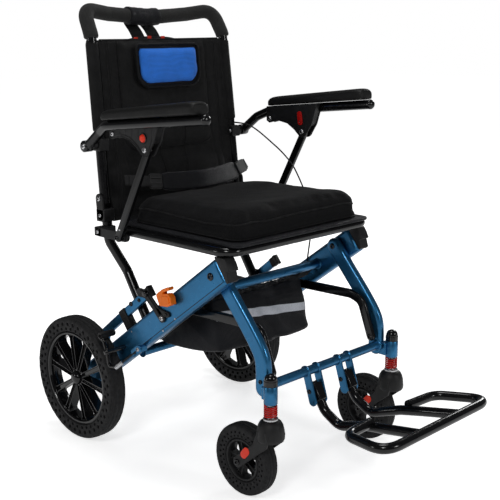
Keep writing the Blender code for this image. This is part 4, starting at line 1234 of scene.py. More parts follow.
def latch():
    x = -0.2225
    line = [LATCH_PIVOT, (-0.2350, 0.3500), (-0.2080, 0.3720), (-0.1870, 0.3720)]
    arm = bevel(plate("blade", strip(bent(line, 0.02, 5), 0.0095, 14), x, 0.0040), 0.0010, 3)
    line = [(-0.2500, 0.3360), (-0.2330, 0.3540), (-0.2080, 0.3735), (-0.1920, 0.3765)]
    ridge = bevel(plate("rib", strip(bent(line, 0.02, 5), 0.0026, 8), x - 0.0028, 0.0024), 0.0008, 2)
    line = [(-0.2420, 0.3440), (-0.2760, 0.3400)]
    prong = bevel(plate("prong", strip(line, 0.0060, 10), x, 0.0040), 0.0010, 3)
    assemble([arm, ridge, prong], "black_plastic", "latch_blade", "latch", "latch_plate")
    knob = [(0.0, 0.0078), (0.0040, 0.0076), (0.0066, 0.0060), (0.0074, 0.0030), (0.0074, 0.0), (0.0, 0.0)]
    knob = turned("knob", knob, at(x - 0.0020, (-0.2110, 0.3740)), steps=32, flip=-1)
    fit(knob, "latch_knob", "gloss_black", "latch")
    bolt("latch_bolt", "latch", x - 0.0020, LATCH_PIVOT, 0.0058, -1, "steel")
    bolt("latch_screw", "latch", x - 0.0020, (-0.2720, 0.3405), 0.0036, -1)
    low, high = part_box("latch_tab")
    middle = (low.x + high.x) / 2
    thick = high.x - low.x
    outline = bent([(-0.2640, 0.3720), (-0.2590, 0.3830), (-0.2660, 0.3900), (-0.2770, 0.3970),
                    (-0.2980, 0.4070), (-0.3010, 0.4020), (-0.2960, 0.3985), (-0.2800, 0.3925),
                    (-0.2790, 0.3880), (-0.2960, 0.3925), (-0.3045, 0.3850), (-0.3070, 0.3710),
                    (-0.2940, 0.3640), (-0.2700, 0.3615), (-0.2640, 0.3720)], 0.0028, 4)
    tab = bevel(plate("tab", outline[1:], middle, thick), 0.0014, 3)
    window = bent([(-0.2760, 0.3840), (-0.2980, 0.3870), (-0.3020, 0.3730), (-0.2900, 0.3690),
                   (-0.2740, 0.3690), (-0.2760, 0.3840)], 0.003, 4)
    raised = bevel(plate("raised", window[1:], low.x - 0.0006, 0.0020), 0.0007, 2)
    ridges = []
    for i in range(3):
        foot = Vector((-0.2760 - 0.0065 * i, 0.3967 + 0.0030 * i))
        ridge = [at(low.x + 0.001, tuple(foot)), at(high.x - 0.001, tuple(foot))]
        ridges.append(tube("ridge", ridge, 0.0009, sides=8))
    assemble([tab, raised, *ridges], "orange_plastic", "latch_thumb", "latch", "latch_tab")


def brake(side, tag):
    body = f"brake_arm_{tag}"
    outer, inner = side * 0.268, side * 0.224
    shoe = (-0.0960, 0.2640)
    points = [at(inner, shoe), at(outer, shoe), at(outer, (-0.1150, 0.2580)), at(outer, BRAKE_PIVOT),
              at(outer, (-0.1310, 0.2030)), at(outer, (-0.1560, 0.2080))]
    rod = tube("rod", rounded(points, 0.009, 8), 0.0041, sides=20)
    pin = tube("pin", [at(side * 0.2198, BRAKE_PIVOT), at(outer, BRAKE_PIVOT)], 0.0050, sides=20)
    pad = [(0.0, 0.0200), (0.0066, 0.0200), (0.0076, 0.0185), (0.0076, -0.0185), (0.0066, -0.0200),
           (0.0, -0.0200)]
    roll = turned("roll", pad, at((outer + inner) / 2, shoe), steps=32)
    for part in (rod, pin):
        paint(part, "black_tube", 60)
    paint(roll, "black_plastic")
    fit(join("arm", [rod, pin, roll]), f"brake_{tag}", None, body, f"brake_arm_{tag}", slot="black_tube")
    knob = [(0.0, 0.0060), (0.0044, 0.0056), (0.0064, 0.0036), (0.0068, 0.0), (0.0, 0.0)]
    place = at(side * 0.2705, (BRAKE_PIVOT[0] - 0.002, BRAKE_PIVOT[1]))
    fit(turned("knob", knob, place, steps=32, flip=side), f"brake_knob_{tag}", "gloss_black", body)
    tip = at(outer - side * 0.0005, (-0.1560, 0.2080))
    far = at(side * 0.2380, (-0.1900, 0.2450))
    aim = (far - tip).normalized()
    barrel = sweep("barrel", [tip - aim * 0.004, tip + aim * 0.017], ring_of(0.0048, 24))
    tail = tube("tail", [tip, far], 0.0019, sides=12)
    paint(barrel, "steel")
    paint(tail, "black_plastic")
    link = join("link", [bevel(barrel, 0.0008, 2), tail])
    fit(link, f"brake_barrel_{tag}", None, "main_frame", slot="steel")
    lug = plate("lug", strip([(-0.1960, 0.2500), (-0.1800, 0.2380)], 0.0090, 14), side * 0.2370, 0.0060)
    bevel(lug, 0.0012, 3)
    foot = block("foot", side * (BEAM_OUT - 0.001), side * 0.2370, (-0.2020, 0.2440), (-0.1900, 0.2560))
    bevel(foot, 0.001, 2)
    assemble([lug, foot], "blue_paint", f"brake_lug_{tag}", "main_frame")
    bolt(f"brake_bolt_{tag}", "main_frame", side * 0.2398, (-0.1960, 0.2500), 0.0046, side, "steel")


def brake_lever():
    path = [LEVER_PIVOT, (0.0290, 0.8300), (0.0310, 0.8760)]
    lever = bevel(plate("lever", strip(bent(path, 0.02), 0.0060, 12), 0.178, 0.012), 0.0028, 4)
    fit(lever, "hand_lever", "black_plastic", "brake_lever", "brake_lever")


CABLE_ROUTE = [(0.1800, -0.0030, 0.7970), (0.1800, 0.0020, 0.7600), (0.1880, 0.0020, 0.7200),
               (0.2040, -0.0120, 0.6960), (0.2180, -0.0260, 0.6920), (0.2210, -0.0880, 0.6850),
               (0.2210, -0.1660, 0.6450), (0.2210, -0.2050, 0.6190), (0.2215, -0.2280, 0.5970),
               (0.2250, -0.2550, 0.5500), (0.2275, -0.2680, 0.5150), (0.2275, -0.2760, 0.4900),
               (0.2180, -0.2880, 0.4600), (0.1990, -0.2980, 0.4280), (0.1890, -0.3010, 0.3950),
               (0.1890, -0.2960, 0.3600)]
CABLE_R = 0.0018


def cables():
    """Brake cable from the lever, down inside the left armrest, to a clip on the left beam.

    It is two lengths that meet in the middle.
    """
    path = dense(smooth_route([at(x, (y, z)) for x, y, z in CABLE_ROUTE], 8), 0.006)
    split = min(range(len(path)), key=lambda i: (path[i] - at(0.2210, (-0.1660, 0.6450))).length)
    for name, part, pair in (("cable_upper", path[:split + 1], ("backrest", "back_frame")),
                             ("cable_lower", path[split:][::-1], ("main_frame", "back_frame"))):
        piece = tube(name, part, CABLE_R, sides=12)
        apply_all(piece)
        paint(piece, "black_plastic", 80)
        piece.name = name
        if name == "cable_upper":
            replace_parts(piece, "brake_cable")
        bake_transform(piece)
    clip = bevel(block("clip", 0.1862, BEAM_IN - 0.0002, (-0.3010, 0.3530), (-0.2910, 0.3640)), 0.0012, 2)
    fit(clip, "cable_clip", "black_plastic", "main_frame")
    nut = turned("nut", [(0.0, 0.0120), (0.0026, 0.0120), (0.0034, 0.0100), (0.0034, 0.0), (0.0, 0.0)],
                 path[0] - Vector((0, 0, 0.004)), "Z", steps=6)
    fit(nut, "cable_nut", "steel", "backrest")


# ---- soft goods -----------------------------------------------------------------------------

def wave(point, scale, seed=0.0):
    """Smooth, repeatable unevenness between -1 and 1."""
    x, y, z = point.x * scale + seed, point.y * scale - seed, point.z * scale + 2 * seed
    a = sin(x * 1.0 + 1.7 * sin(y * 0.7 + 0.5)) * cos(z * 0.9 + 1.1 * sin(x * 0.6))
    b = sin(y * 1.9 + 2.3 * sin(z * 0.8 + x * 0.5) + 1.3)
    return 0.6 * a + 0.4 * b


def puffed(obj, voxel, cap, pressure=4.0, held=None, facing=None):
    """Swells a closed form by cloth simulation.

    No point moves further than cap. held(point) is the share of its move that a point keeps.
    A sewn-down pad swells along facing, and its edge hardly pulls in.
    """
    modifier(obj, "REMESH", mode="VOXEL", voxel_size=voxel)
    apply_all(obj)
    before = [v.co.copy() for v in obj.data.vertices]
    cloth = obj.modifiers.new("swell", "CLOTH").settings
    cloth.quality = 5
    cloth.use_pressure = True
    cloth.uniform_pressure_force = pressure
    cloth.effector_weights.gravity = 0.0
    cloth.tension_stiffness = 12
    cloth.bending_stiffness = 0.6
    scene = bpy.context.scene
    for number in range(1, 21):
        scene.frame_set(number)
    bpy.context.view_layer.update()
    evaluated = obj.evaluated_get(bpy.context.evaluated_depsgraph_get())
    after = [v.co.copy() for v in evaluated.to_mesh().vertices]
    evaluated.to_mesh_clear()
    obj.modifiers.clear()
    scene.frame_set(1)
    for vertex, a, b in zip(obj.data.vertices, before, after):
        move = b - a
        if move.length > cap:
            move *= cap / move.length
        if held:
            move *= held(a)
        if facing:
            move = move * 0.15 + facing * (0.85 * move.dot(facing))
        vertex.co = a + move
    modifier(obj, "SMOOTH", factor=0.5, iterations=4)
    modifier(obj, "SUBSURF", levels=1, render_levels=1)
    return apply_all(obj)


def around(obj, centre, height, count, reach, lift=0.0):
    """Points round a soft form, where rays towards its middle meet its side.

    height(angle) gives each one's z.
    """
    tree = BVHTree.FromObject(obj, bpy.context.evaluated_depsgraph_get())
    found = []
    for i in range(count):
        a = 2 * pi * i / count
        u = abs(cos(a)) ** 0.5 * (1 if cos(a) >= 0 else -1)
        v = abs(sin(a)) ** 0.5 * (1 if sin(a) >= 0 else -1)
        start = Vector((centre[0] + reach[0] * u, centre[1] + reach[1] * v, height(a)))
        aim = Vector((centre[0] + reach[0] * u * 0.72, centre[1] + reach[1] * v * 0.72, height(a))) - start
        hit, normal = tree.ray_cast(start, aim.normalized())[:2]
        if hit is not None:
            found.append(hit + normal * lift)
    return found


def seat_cushion():
    low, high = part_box("seat_cushion")
    middle = (low + high) / 2
    z0, z1 = low.z, high.z
    half = Vector(((high.x - low.x) / 2, (high.y - low.y) / 2))
    outline = rounded_box(half.x - 0.038, half.y - 0.038, 0.030, 8)
    corners = [(middle.x + x, middle.y + y, z0 + 0.0070) for x, y in outline]
    pad = prism("pad", corners, (0, 0, z1 - z0 - 0.0150))
    puffed(pad, 0.005, 0.0125, 5.0, held=lambda p: 1.0 if p.z > z0 + 0.016 else 0.35)
    for vertex in pad.data.vertices:
        p = vertex.co
        u = (p.x - middle.x) / half.x
        v = (p.y - middle.y) / half.y
        top = max(0.0, min(1.0, (p.z - z0 - 0.025) / 0.015))
        crown = 0.0100 * (1 - u ** 4) * (1 - v ** 4) - 0.0050 * max(0.0, 1 - (u * u * 2.2 + v * v * 1.6))
        front = 0.0060 * smoothstep(-v, 0.30, 0.75) * smoothstep(1.0 + v, 0.0, 0.16)
        p.z += top * (crown + front + 0.0020) + 0.0010 * wave(p, 34.0, 0.3) * top
        p.y += 0.0120 * smoothstep(v, 0.2, 1.0)
        p.x += 0.0010 * wave(p, 55.0, 1.3) * abs(u) ** 4
        p.y += 0.0010 * wave(p, 48.0, 2.1) * abs(v) ** 4
        p.z = max(p.z, z0)
    fit(pad, "cushion", "mesh_fabric", "seat", "seat_cushion", smooth=0)

    def upper(a):
        return z1 - 0.0125 + 0.0022 * sin(a * 5 + 0.8) + 0.0010 * sin(a * 11) + 0.004 * max(0.0, -sin(a)) ** 4

    def lower(a):
        return z0 + 0.0100 + 0.0010 * sin(a * 4)

    for name, height, size in (("cushion_seam_top", upper, 0.0019), ("cushion_seam_low", lower, 0.0017)):
        points = around(pad, (middle.x, middle.y), height, 120, (half.x + 0.03, half.y + 0.03), 0.0003)
        cord = tube(name, points, size, closed=True, sides=8)
        fit(cord, name, "piping", "seat", smooth=0)
    rail_in = SEAT_X - SEAT_R - 0.0007
    base_y, sling_y = middle.y + 0.004, AXLE_Y - 0.2825
    slabs = (("cushion_base", base_y, half.x + 0.005, half.y + 0.009, 0.0200, z0 + 0.0002, z0 + 0.0064),
             ("seat_sling", sling_y, rail_in, 0.1570, 0.0250, SEAT_Z + 0.0008, z0 - 0.0001))
    for name, y, wide, deep, turn, bottom, top in slabs:
        outline = rounded_box(wide - turn, deep - turn, turn, 8)
        corners = [(middle.x + a, y + b, bottom) for a, b in outline]
        slab = bevel(prism(name, corners, (0, 0, top - bottom)), 0.0022, 3)
        fit(slab, name, "nylon", "seat", smooth=50)


BACK_LOW = Vector((-0.0578, 0.5030))
BACK_HIGH = Vector((-0.0165, 0.8960))
BACK_ALONG = (BACK_HIGH - BACK_LOW).normalized()
BACK_OUT = Vector((BACK_ALONG.y, -BACK_ALONG.x))
BACK_TALL = (BACK_HIGH - BACK_LOW).length
BACK_FLAT = 0.1868
BACK_BOW = 0.190
BACK_SAG = 0.0085
WRAP_R = BACK_R + 0.0028


def smoothstep(value, low, high):
    t = max(0.0, min(1.0, (value - low) / (high - low)))
    return t * t * (3 - 2 * t)


def on_back(x, height, out):
    """A point of the backrest: height above its lower edge, out behind its mid plane."""
    return at(x, tuple(BACK_LOW + BACK_ALONG * height + BACK_OUT * out))


def back_taper(h):
    """How much narrower the uprights stand at a height above the backrest's lower edge."""
    return 1.0 + (BACK_TOP_X / BACK_X - 1.0) * max(0.0, h - 0.042) / 0.360


def back_relief(x, h):
    """How far the padded front stands out of the panel, with seams as grooves and creases below."""
    pad = 0.0080 * smoothstep(0.1340 - abs(x), 0.0, 0.016) * smoothstep(h, 0.137, 0.172)
    pad *= smoothstep(BACK_TALL - h, 0.0, 0.020)
    for seam in (0.1370, 0.1650, 0.1705):
        pad -= 0.0022 * max(0.0, 1 - abs(abs(x) - seam) / 0.0026)
    if 0.060 < h < 0.215:
        for seam in (-0.026, 0.034):
            away = abs(x - seam - 0.02 * (h - 0.1))
            pad -= 0.0028 * max(0.0, 1 - away / 0.0034) * smoothstep(h, 0.06, 0.08)
    pad -= 0.0020 * max(0.0, 1 - abs(h - 0.1250) / 0.0030) * (abs(x) < 0.1370)
    bolster = smoothstep(h, 0.015, 0.060) * smoothstep(0.150 - h, 0.0, 0.050)
    pad += 0.0130 * bolster * smoothstep(0.180 - abs(x), 0.0, 0.03)
    creases = 0.0030 * sin(x * 38 + h * 60 + 1.6 * sin(h * 40)) * smoothstep(0.20 - h, 0.0, 0.14)
    creases += 0.0012 * sin(x * 120 + 2.2 * sin(h * 26)) * smoothstep(0.035 - (BACK_TALL - h), 0.0, 0.03)
    ruck = 0.0010 * sin(h * 190 + 1.4 * sin(x * 30)) * smoothstep(abs(x), 0.150, 0.185)
    return pad + creases + ruck + 0.0006 * wave(Vector((x, h, 0)), 60.0)


def backrest():
    """Front and back skins of the backrest, closed round its edge.

    Above the armrests they wrap the uprights.
    """
    wide = BACK_X + WRAP_R
    sleeve_foot = 0.196
    heights = [BACK_TALL * i / 96 for i in range(97)]
    flats = [-0.1850 + 0.370 * i / 92 for i in range(93)]
    wraps = [BACK_X + WRAP_R * sin(radians(a)) for a in range(-72, 91, 9)]
    columns = [-x for x in reversed(wraps)] + flats + wraps
    work = bmesh.new()
    front, rear = [], []
    for h in heights:
        sleeve = smoothstep(h, sleeve_foot - 0.001, sleeve_foot + 0.003)
        sag = BACK_SAG * (0.6 + 0.4 * cos((h / BACK_TALL - 0.5) * 2.6))
        row_f, row_r = [], []
        for x in columns:
            edge = abs(x)
            limit = BACK_FLAT + 0.0036 * smoothstep(h, 0.040, 0.052)
            narrow = min(edge, limit + (edge - BACK_FLAT) * 0.02)
            px = (narrow + (edge - narrow) * sleeve) * (1 if x >= 0 else -1) * back_taper(h)
            bow = sag * max(0.0, 1 - (x / BACK_BOW) ** 2)
            pipe = sleeve * sqrt(max(0.0, WRAP_R ** 2 - (edge - BACK_X) ** 2))
            past = max(0.0, edge - BACK_FLAT) / (wide - BACK_FLAT)
            thin = 0.0042 * max(0.0, 1 - past) ** 0.5
            relief = back_relief(x, h) if edge < 0.186 else 0.0
            fade = smoothstep(h, 0.0, 0.008) * smoothstep(BACK_TALL - h, 0.0, 0.007)
            thick = max(thin, pipe) * (0.30 + 0.70 * fade)
            shift = 0.0022 * sleeve * smoothstep(edge, 0.170, 0.187)
            row_f.append(work.verts.new(on_back(px, h, bow + shift - thick - relief * fade)))
            row_r.append(work.verts.new(on_back(px, h, bow + shift + thick - 0.4 * relief * fade)))
        front.append(row_f)
        rear.append(row_r)
    last = len(columns) - 1
    for i in range(len(heights) - 1):
        for j in range(last):
            work.faces.new((front[i][j], front[i][j + 1], front[i + 1][j + 1], front[i + 1][j]))
            work.faces.new((rear[i][j + 1], rear[i][j], rear[i + 1][j], rear[i + 1][j + 1]))
        for j in (0, last):
            work.faces.new((front[i][j], front[i + 1][j], rear[i + 1][j], rear[i][j]))
    for i in (0, len(heights) - 1):
        for j in range(last):
            work.faces.new((front[i][j], rear[i][j], rear[i][j + 1], front[i][j + 1]))
    panel = from_bmesh("panel", work)
    modifier(panel, "SUBSURF", levels=1, render_levels=1)
    fit(panel, "back_panel", "back_fabric", "backrest", "backrest_fabric", smooth=0)
    hem = []
    for i in range(60):
        x = -0.176 + 0.352 * i / 59
        bow = BACK_SAG * (0.6 + 0.4 * cos(1.3)) * max(0.0, 1 - (x / BACK_BOW) ** 2)
        hem.append(on_back(x, BACK_TALL - 0.0006, bow))
    fit(tube("hem", hem, 0.0026, sides=10), "back_hem_top", "piping", "backrest", smooth=0)
    tree = BVHTree.FromObject(panel, bpy.context.evaluated_depsgraph_get())

    def on_front(x, h, lift=0.0004):
        start = on_back(x * back_taper(h), h, -0.2)
        hit, normal = tree.ray_cast(start, on_back(0, 0, 1) - on_back(0, 0, 0))[:2]
        return hit + normal * lift if hit is not None else start

    top = BACK_TALL - 0.004
    border = bent([(-0.1340, top), (-0.1340, 0.1500), (0.1340, 0.1500), (0.1340, top)], 0.045, 12)
    border = [on_front(p.x, p.y) for p in dense([(x, h, 0) for x, h in border], 0.006)]
    fit(tube("border", border, 0.0017, sides=8), "back_inset_piping", "piping", "backrest", smooth=0)
    lines = {"outer": (0.1660, 0.010), "inner": (0.1600, 0.010), "sleeve": (0.1850, sleeve_foot + 0.006)}
    skirt = [on_back(x, -0.0040, 0.0060 * (1 - (x / BACK_BOW) ** 2))
             for x in (-0.165 + 0.330 * i / 8 for i in range(9))]
    strap("back_skirt", skirt, 0.0220, 0.0016, "nylon", (0, 1, -0.1), "backrest", 5)
    for side, tag in SIDES:
        for name, (x, low) in lines.items():
            seam = [on_front(side * x, low + (top - low) * i / 70) for i in range(71)]
            seam = tube("seam", seam, 0.0009, sides=6)
            fit(seam, f"back_seam_{name}_{tag}", "webbing", "backrest", smooth=0)
        flap = [on_back(side * x, 0.038, out) for x, out in
                ((0.1780, 0.0040), (0.1880, 0.0140), (0.2000, 0.0180), (0.2130, 0.0170))]
        strap(f"back_flap_{tag}", flap, 0.0340, 0.0016, "nylon", (0, 1, -0.1), "backrest")
        dart = [on_front(side * 0.030 + 0.006 + side * 0.012 * i / 30, 0.050 + 0.150 * i / 30)
                for i in range(31)]
        fit(tube("dart", dart, 0.0016, sides=8), f"back_dart_{tag}", "piping", "backrest", smooth=0)


def shield(half_x, low, high, top_round, foot_round):
    """Front view outline of the head pad, as (x, height) pairs."""
    outline = []
    top, foot = (top_round, high - top_round), (foot_round, low + foot_round)
    for i, (way, (turn, height)) in enumerate(((1, top), (-1, top), (-1, foot), (1, foot))):
        outline += arc((way * (half_x - turn), height), turn, 90 * i, 90 * i + 90, 10)
    return outline


def head_pad():
    """Blue pad on the upper backrest, with a black border."""
    low, high = 0.7900 - BACK_LOW.y, 0.8860 - BACK_LOW.y
    front = -0.0185
    inner = shield(0.0850, low + 0.008, high - 0.008, 0.008, 0.026)
    shift = on_back(0, 0, front - 0.0035) - on_back(0, 0, front + 0.0050)
    form = prism("pad", [on_back(x, h, front + 0.0050) for x, h in inner], shift)
    pad = puffed(form, 0.004, 0.0070, 5.0, facing=shift.normalized())
    for vertex in pad.data.vertices:
        vertex.co += vertex.normal * 0.0005 * wave(vertex.co, 75.0, 0.9)
    fit(pad, "head_cushion", "blue_fabric", "backrest", "head_pad", smooth=0)
    edge = shield(0.0925, low + 0.0008, high - 0.0008, 0.012, 0.030)
    rim = sweep("rim", [on_back(x, h, front + 0.0020) for x, h in edge], oval_of(0.0030, 0.0052, 14),
                closed=True, up=(0, -1, 0.1))
    fit(rim, "head_border", "piping", "backrest", smooth=0)
    back = shield(0.0915, low + 0.002, high - 0.002, 0.011, 0.029)
    shift = on_back(0, 0, front + 0.0030) - on_back(0, 0, front + 0.0068)
    lining = prism("lining", [on_back(x, h, front + 0.0068) for x, h in back], shift)
    fit(bevel(lining, 0.001, 2), "head_lining", "nylon", "backrest", smooth=50)


def strap(name, points, width, thick, look, up, body, per_span=8):
    made = sweep(name, smooth_route(points, per_span), band_of(width, thick), up=up)
    return fit(made, name, look, body, smooth=50)


def handle_wrap():
    """Hook-and-loop wrap on the push bar, its two straps, and the small pouch that they hold."""
    def bar_point(x):
        t = abs(x) / 0.12
        return at(x, (0.0330 - 0.0030 * t, 0.9440 + 0.0080 * t))

    path = [bar_point(-0.060 + 0.088 * i / 16) for i in range(17)]
    sizes = [1.0 + 0.015 * sin(i * 1.9) for i in range(17)]
    wrap = sweep("wrap", path, oval_of(0.0190, 0.0205, 36, 0.001), sizes=sizes)
    fit(bevel(wrap, 0.0012, 2), "handle_wrap", "nylon", "backrest", smooth=50)
    for x in (-0.036, 0.010):
        points = [bar_point(x) + Vector((0, 0.0185, 0.004)), bar_point(x) + Vector((0, 0.0185, -0.014)),
                  at(x, (0.0340, 0.9150)), at(x, (0.0220, 0.8990)), at(x, (0.0170, 0.8820))]
        name = "pouch_strap_r" if x < 0 else "pouch_strap_l"
        strap(name, points, 0.0370, 0.0024, "webbing", (0, 1, 0.2), "backrest")
    sides = 28
    rings = []
    for i in range(41):
        u = -1 + 2 * i / 40
        x = 0.092 * u
        end = sqrt(max(0.0, 1 - abs(u) ** 6))
        ring = []
        for j in range(sides):
            a = 2 * pi * j / sides
            c, s = cos(a), sin(a)
            deep = 0.0115 * (abs(c) ** 0.7) * (1 if c >= 0 else -1) * (0.35 + 0.65 * end)
            tall = 0.0500 * (abs(s) ** 0.6) * (1 if s >= 0 else -1) * (0.72 + 0.28 * end)
            arch = 0.0075 * (1 - u * u) if s > 0 else 0.0
            pucker = 0.0008 * sin(u * 26 + s * 3) * (0.4 + 0.6 * abs(s))
            y, z = 0.0130 + deep + pucker, 0.8450 + tall + arch
            ring.append(at(x, (y + (z - 0.85) * 0.10, z)))
        rings.append(ring)
    pouch = skin("pouch", rings)
    modifier(pouch, "SUBSURF", levels=1, render_levels=1)
    fit(pouch, "back_pouch", "nylon", "backrest", smooth=0)
    for i, x in enumerate((-0.054, -0.014, 0.026)):
        tag = [(0.0055, -0.0030), (0.0055, 0.0030), (-0.0055, 0.0030), (-0.0055, -0.0030)]
        lift = 0.0075 * (1 - (x / 0.092) ** 2)
        tab = prism("tag", [at(x + a, (0.0085, 0.8925 + lift + b)) for a, b in tag], (0, 0.0016, 0))
        fit(bevel(tab, 0.0004, 2), f"pouch_tab_{i}", "bright_red", "backrest")


def squash_belt(piece):
    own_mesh(piece)
    return piece


def belt_web(name, points):
    return squash_belt(strap(name, points, 0.0240, 0.0019, "webbing", (0, -1, 0.45), "seat", 4))


def lap_belt():
    """Belt across the seat: webbing, a slide, a padded sleeve and a side-release buckle."""
    def line(x):
        t = abs(x) / 0.186
        return at(x, (-0.1520 + 0.050 * t ** 1.7, 0.5880 + 0.0120 * t * t))

    right = [line(-0.186 + 0.066 * i / 8) + Vector((0, 0, 0.0006 * sin(i * 1.7))) for i in range(9)]
    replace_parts(belt_web("belt_web_r", right), "lap_belt")
    anchor = [line(0.160 + 0.026 * i / 3) + Vector((0, 0, -0.0012 * i)) for i in range(4)]
    belt_web("belt_fold_l", anchor)
    fold = [line(-0.178 + 0.060 * i / 6) + Vector((0, -0.0032, 0.0008 * sin(i * 2.1))) for i in range(7)]
    belt_web("belt_fold_r", fold)
    pad = [line(-0.108 + 0.236 * i / 12) for i in range(13)]
    rows = smooth_route(pad, 5)
    sizes = [0.82 + 0.18 * min(1.0, min(i, len(rows) - 1 - i) / 4) for i in range(len(rows))]
    sleeve = sweep("sleeve", rows, band_of(0.0430, 0.0085, 6), up=(0, -1, 0.45), sizes=sizes)
    modifier(sleeve, "SUBSURF", levels=1, render_levels=1)
    fit(sleeve, "belt_pad", "nylon", "seat", smooth=0)
    squash_belt(sleeve)
    left = [line(0.130 + 0.056 * i / 4) for i in range(5)]
    belt_web("belt_web_l", left)
    shells = (("belt_slide", -0.122, 0.0300, 0.0340, 0.0070, 0.006),
              ("belt_buckle", 0.148, 0.0420, 0.0310, 0.0110, 0.0135))
    for name, x, wide, tall, deep, bar_high in shells:
        centre = line(x) + Vector((0, -0.0010, 0))
        tangent = (line(x + 0.005) - line(x - 0.005)).normalized()
        up = Vector((0, 0.45, 1))
        up = (up - tangent * up.dot(tangent)).normalized()
        out = tangent.cross(up)
        outline = rounded_box(wide / 2 - 0.005, tall / 2 - 0.005, 0.005, 5)
        corners = [centre + tangent * a + up * b - out * deep / 2 for a, b in outline]
        parts = [bevel(prism("shell", corners, out * deep), 0.0016, 3)]
        for b in (-bar_high, bar_high):
            bar = [centre + tangent * (a - 0.5) * (wide - 0.008) + up * b - out * (deep / 2) for a in (0, 1)]
            parts.append(tube("bar", bar, 0.0016, sides=10))
            parts.append(tube("bar", [p + out * deep for p in bar], 0.0016, sides=10))
        squash_belt(assemble(parts, "black_plastic", name, "seat"))


def storage_bag():
    """Nylon bag slung between the beams, with a gathered top, sagging in the middle."""
    outline = [(-0.318, 0.368), (-0.330, 0.338), (-0.340, 0.304), (-0.349, 0.268), (-0.352, 0.256),
               (-0.343, 0.249), (-0.300, 0.241), (-0.230, 0.234), (-0.172, 0.232), (-0.140, 0.240),
               (-0.125, 0.256), (-0.150, 0.284), (-0.190, 0.302), (-0.235, 0.322), (-0.285, 0.352)]
    ring = [(p.x, p.y) for p in smooth_route([(y, z, 0) for y, z in outline], 7, closed=True)]
    middle = Vector((sum(p[0] for p in ring) / len(ring), sum(p[1] for p in ring) / len(ring)))
    count = 72
    rings = []
    for i in range(count + 1):
        u = -1 + 2 * i / count
        x = 0.1440 * u
        end = max(0.0, 1 - abs(u) ** 14) ** 0.5
        row = []
        for y, z in ring:
            out = Vector((y, z)) - middle
            high = smoothstep(z, 0.300, 0.366)
            size = 0.90 + 0.10 * end - 0.030 * (1 - u * u) * high
            place = middle + out * size
            gather = 0.0034 * sin(z * 620 + 1.3 * sin(u * 9)) * high
            gather += 0.0010 * sin(u * 90) * smoothstep(z, 0.350, 0.366)
            crease = 0.0026 * sin((u * 11 + (z - 0.25) * 70) + 2.2 * sin(u * 4)) * (1 - high)
            direction = out.normalized()
            place = place + direction * (gather + crease)
            sag = -0.0045 * (1 - u * u) * smoothstep(0.30 - z, 0.0, 0.05) - 0.0080 * (u * 0.5) * (1 - high)
            row.append(at(x, (place.x, place.y + sag)))
        rings.append(row)
    bag = skin("bag", rings)
    fit(bag, "under_bag", "nylon", "main_frame", "storage_bag", smooth=0)
    tree = BVHTree.FromObject(bag, bpy.context.evaluated_depsgraph_get())

    def front(x, z, lift):
        hit = tree.ray_cast(Vector((x, AXLE_Y - 0.45, z)), Vector((0, 1, 0)))[0]
        if hit is None:
            return at(x, (-0.340, z))
        return hit + Vector((0, -lift, 0))

    work = bmesh.new()
    grid = []
    for i in range(81):
        x = -0.139 + 0.278 * i / 80
        z = 0.3295 - (x + 0.139) * 0.115
        grid.append([work.verts.new(front(x, z + 0.0090 * (j / 2 - 1), 0.0010)) for j in range(5)])
    for a, b in zip(grid, grid[1:]):
        for j in range(4):
            work.faces.new((a[j], a[j + 1], b[j + 1], b[j]))
    tape = from_bmesh("tape", work)
    modifier(tape, "SOLIDIFY", thickness=0.0008, offset=0.0)
    fit(tape, "bag_tape", "reflective", "main_frame", smooth=60)
    elastic = []
    for i in range(70):
        x = -0.142 + 0.284 * i / 69
        u = x / 0.142
        z = 0.3655 - 0.0040 * (1 - u * u) + 0.0010 * sin(u * 74)
        elastic.append(at(x, (-0.3170 + 0.0020 * sin(u * 40), z)))
    fit(tube("elastic", elastic, 0.0042, sides=14), "bag_elastic", "piping", "main_frame", smooth=0)
    for side, tag in SIDES:
        start = at(side * 0.1400, (-0.3180, 0.3640))
        end = at(side * (BEAM_IN - 0.0006), (-0.3140, 0.3760))
        sagging = (start + end) / 2 + Vector((0, 0, -0.003))
        strap(f"bag_loop_{tag}", [start, sagging, end], 0.0160, 0.0016, "webbing", (0, 1, 0.1),
              "main_frame", 5)


# ---- floor, light and camera ----------------------------------------------------------------

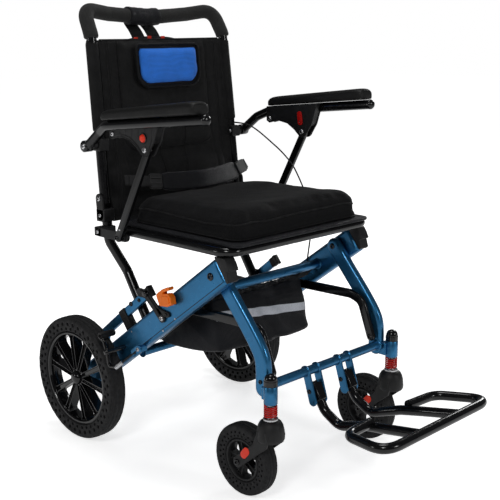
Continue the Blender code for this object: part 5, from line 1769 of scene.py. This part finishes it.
def studio():
    scene = bpy.context.scene
    floor_mesh = bpy.data.meshes.new("floor")
    floor_mesh.from_pydata([(-14, -14, 0), (14, -14, 0), (14, 14, 0), (-14, 14, 0)], [], [(0, 1, 2, 3)])
    floor = bpy.data.objects.new("floor", floor_mesh)
    scene.collection.objects.link(floor)
    look = Look("floor_look", (0.93, 0.93, 0.93), 0.9, Specular_IOR_Level=0.0)
    look.tint(look.noise(1.5), (0.93, 0.93, 0.93), (0.95, 0.95, 0.95))
    look.shader.inputs["Emission Color"].default_value = (1.0, 1.0, 1.0, 1.0)
    away = look.node("ShaderNodeVectorMath", operation="LENGTH")
    look.link(look.place, away.inputs[0])
    glow = look.span(away.outputs["Value"], 0.40, 1.3, 0.66, 0.93)
    seen_by_camera = look.node("ShaderNodeLightPath").outputs["Is Camera Ray"]
    look.link(look.math("MULTIPLY", glow, look.span(seen_by_camera, 0.0, 1.0, 0.35, 1.0)),
              look.shader.inputs["Emission Strength"])
    floor_mesh.materials.append(look.material)

    world = bpy.data.worlds.new("studio")
    scene.world = world
    world.use_nodes = True
    tree = world.node_tree
    fill = tree.nodes["Background"]
    fill.inputs["Color"].default_value = (0.96, 0.98, 1.0, 1.0)
    fill.inputs["Strength"].default_value = 0.08
    seen = tree.nodes.new("ShaderNodeBackground")
    seen.inputs["Color"].default_value = (1.0, 1.0, 1.0, 1.0)
    mix = tree.nodes.new("ShaderNodeMixShader")
    path = tree.nodes.new("ShaderNodeLightPath")
    tree.links.new(path.outputs["Is Camera Ray"], mix.inputs["Fac"])
    tree.links.new(fill.outputs["Background"], mix.inputs[1])
    tree.links.new(seen.outputs["Background"], mix.inputs[2])
    tree.links.new(mix.outputs["Shader"], tree.nodes["World Output"].inputs["Surface"])
    lights = (("key", (-2.6, -1.4, 2.6), 31.0, 0.8), ("front", (0.9, -3.4, 1.8), 21.0, 0.7),
              ("top", (0.2, 0.5, 3.4), 28.0, 1.2), ("side", (-3.0, 1.8, 1.1), 8.0, 0.5),
              ("far", (3.0, 0.6, 1.6), 20.0, 0.8))
    for name, place, power, size in lights:
        light = bpy.data.lights.new(name, "AREA")
        light.energy = power
        light.size = size
        lamp = bpy.data.objects.new(name, light)
        lamp.location = place
        lamp.rotation_euler = (Vector((0, 0, 0.45)) - lamp.location).to_track_quat("-Z", "Y").to_euler()
        scene.collection.objects.link(lamp)
    scene.view_settings.view_transform = "Standard"
    scene.view_settings.look = "None"
    scene.view_settings.exposure = 0.0


def add_camera():
    data = bpy.data.cameras.new("camera")
    data.lens = CAMERA_LENS
    data.sensor_width = 36.0
    data.clip_end = 60
    camera = bpy.data.objects.new("camera", data)
    camera.location = CAMERA_PLACE
    forward = Vector(CAMERA_AIM).normalized()
    turn = forward.to_track_quat("-Z", "Y")
    camera.rotation_euler = (turn.to_matrix() @ Matrix.Rotation(CAMERA_ROLL, 3, "Z")).to_euler()
    bpy.context.scene.collection.objects.link(camera)
    bpy.context.scene.camera = camera


def main():
    for build in (studio, add_camera, cables, cross_tubes, front_cross_tube, footrest, seat_frame, push_bar,
                  latch, brake_lever):
        build()
    for side, tag in SIDES:
        for build in (rear_wheel, main_beam, front_leg, caster, fold_link, back_tube, arm_tube, arm_pad,
                      bracket, support_bar, brake):
            build(side, tag)
    for build in (seat_cushion, backrest, head_pad, handle_wrap, lap_belt, storage_bag):
        build()


main()
bpy.context.view_layer.update()
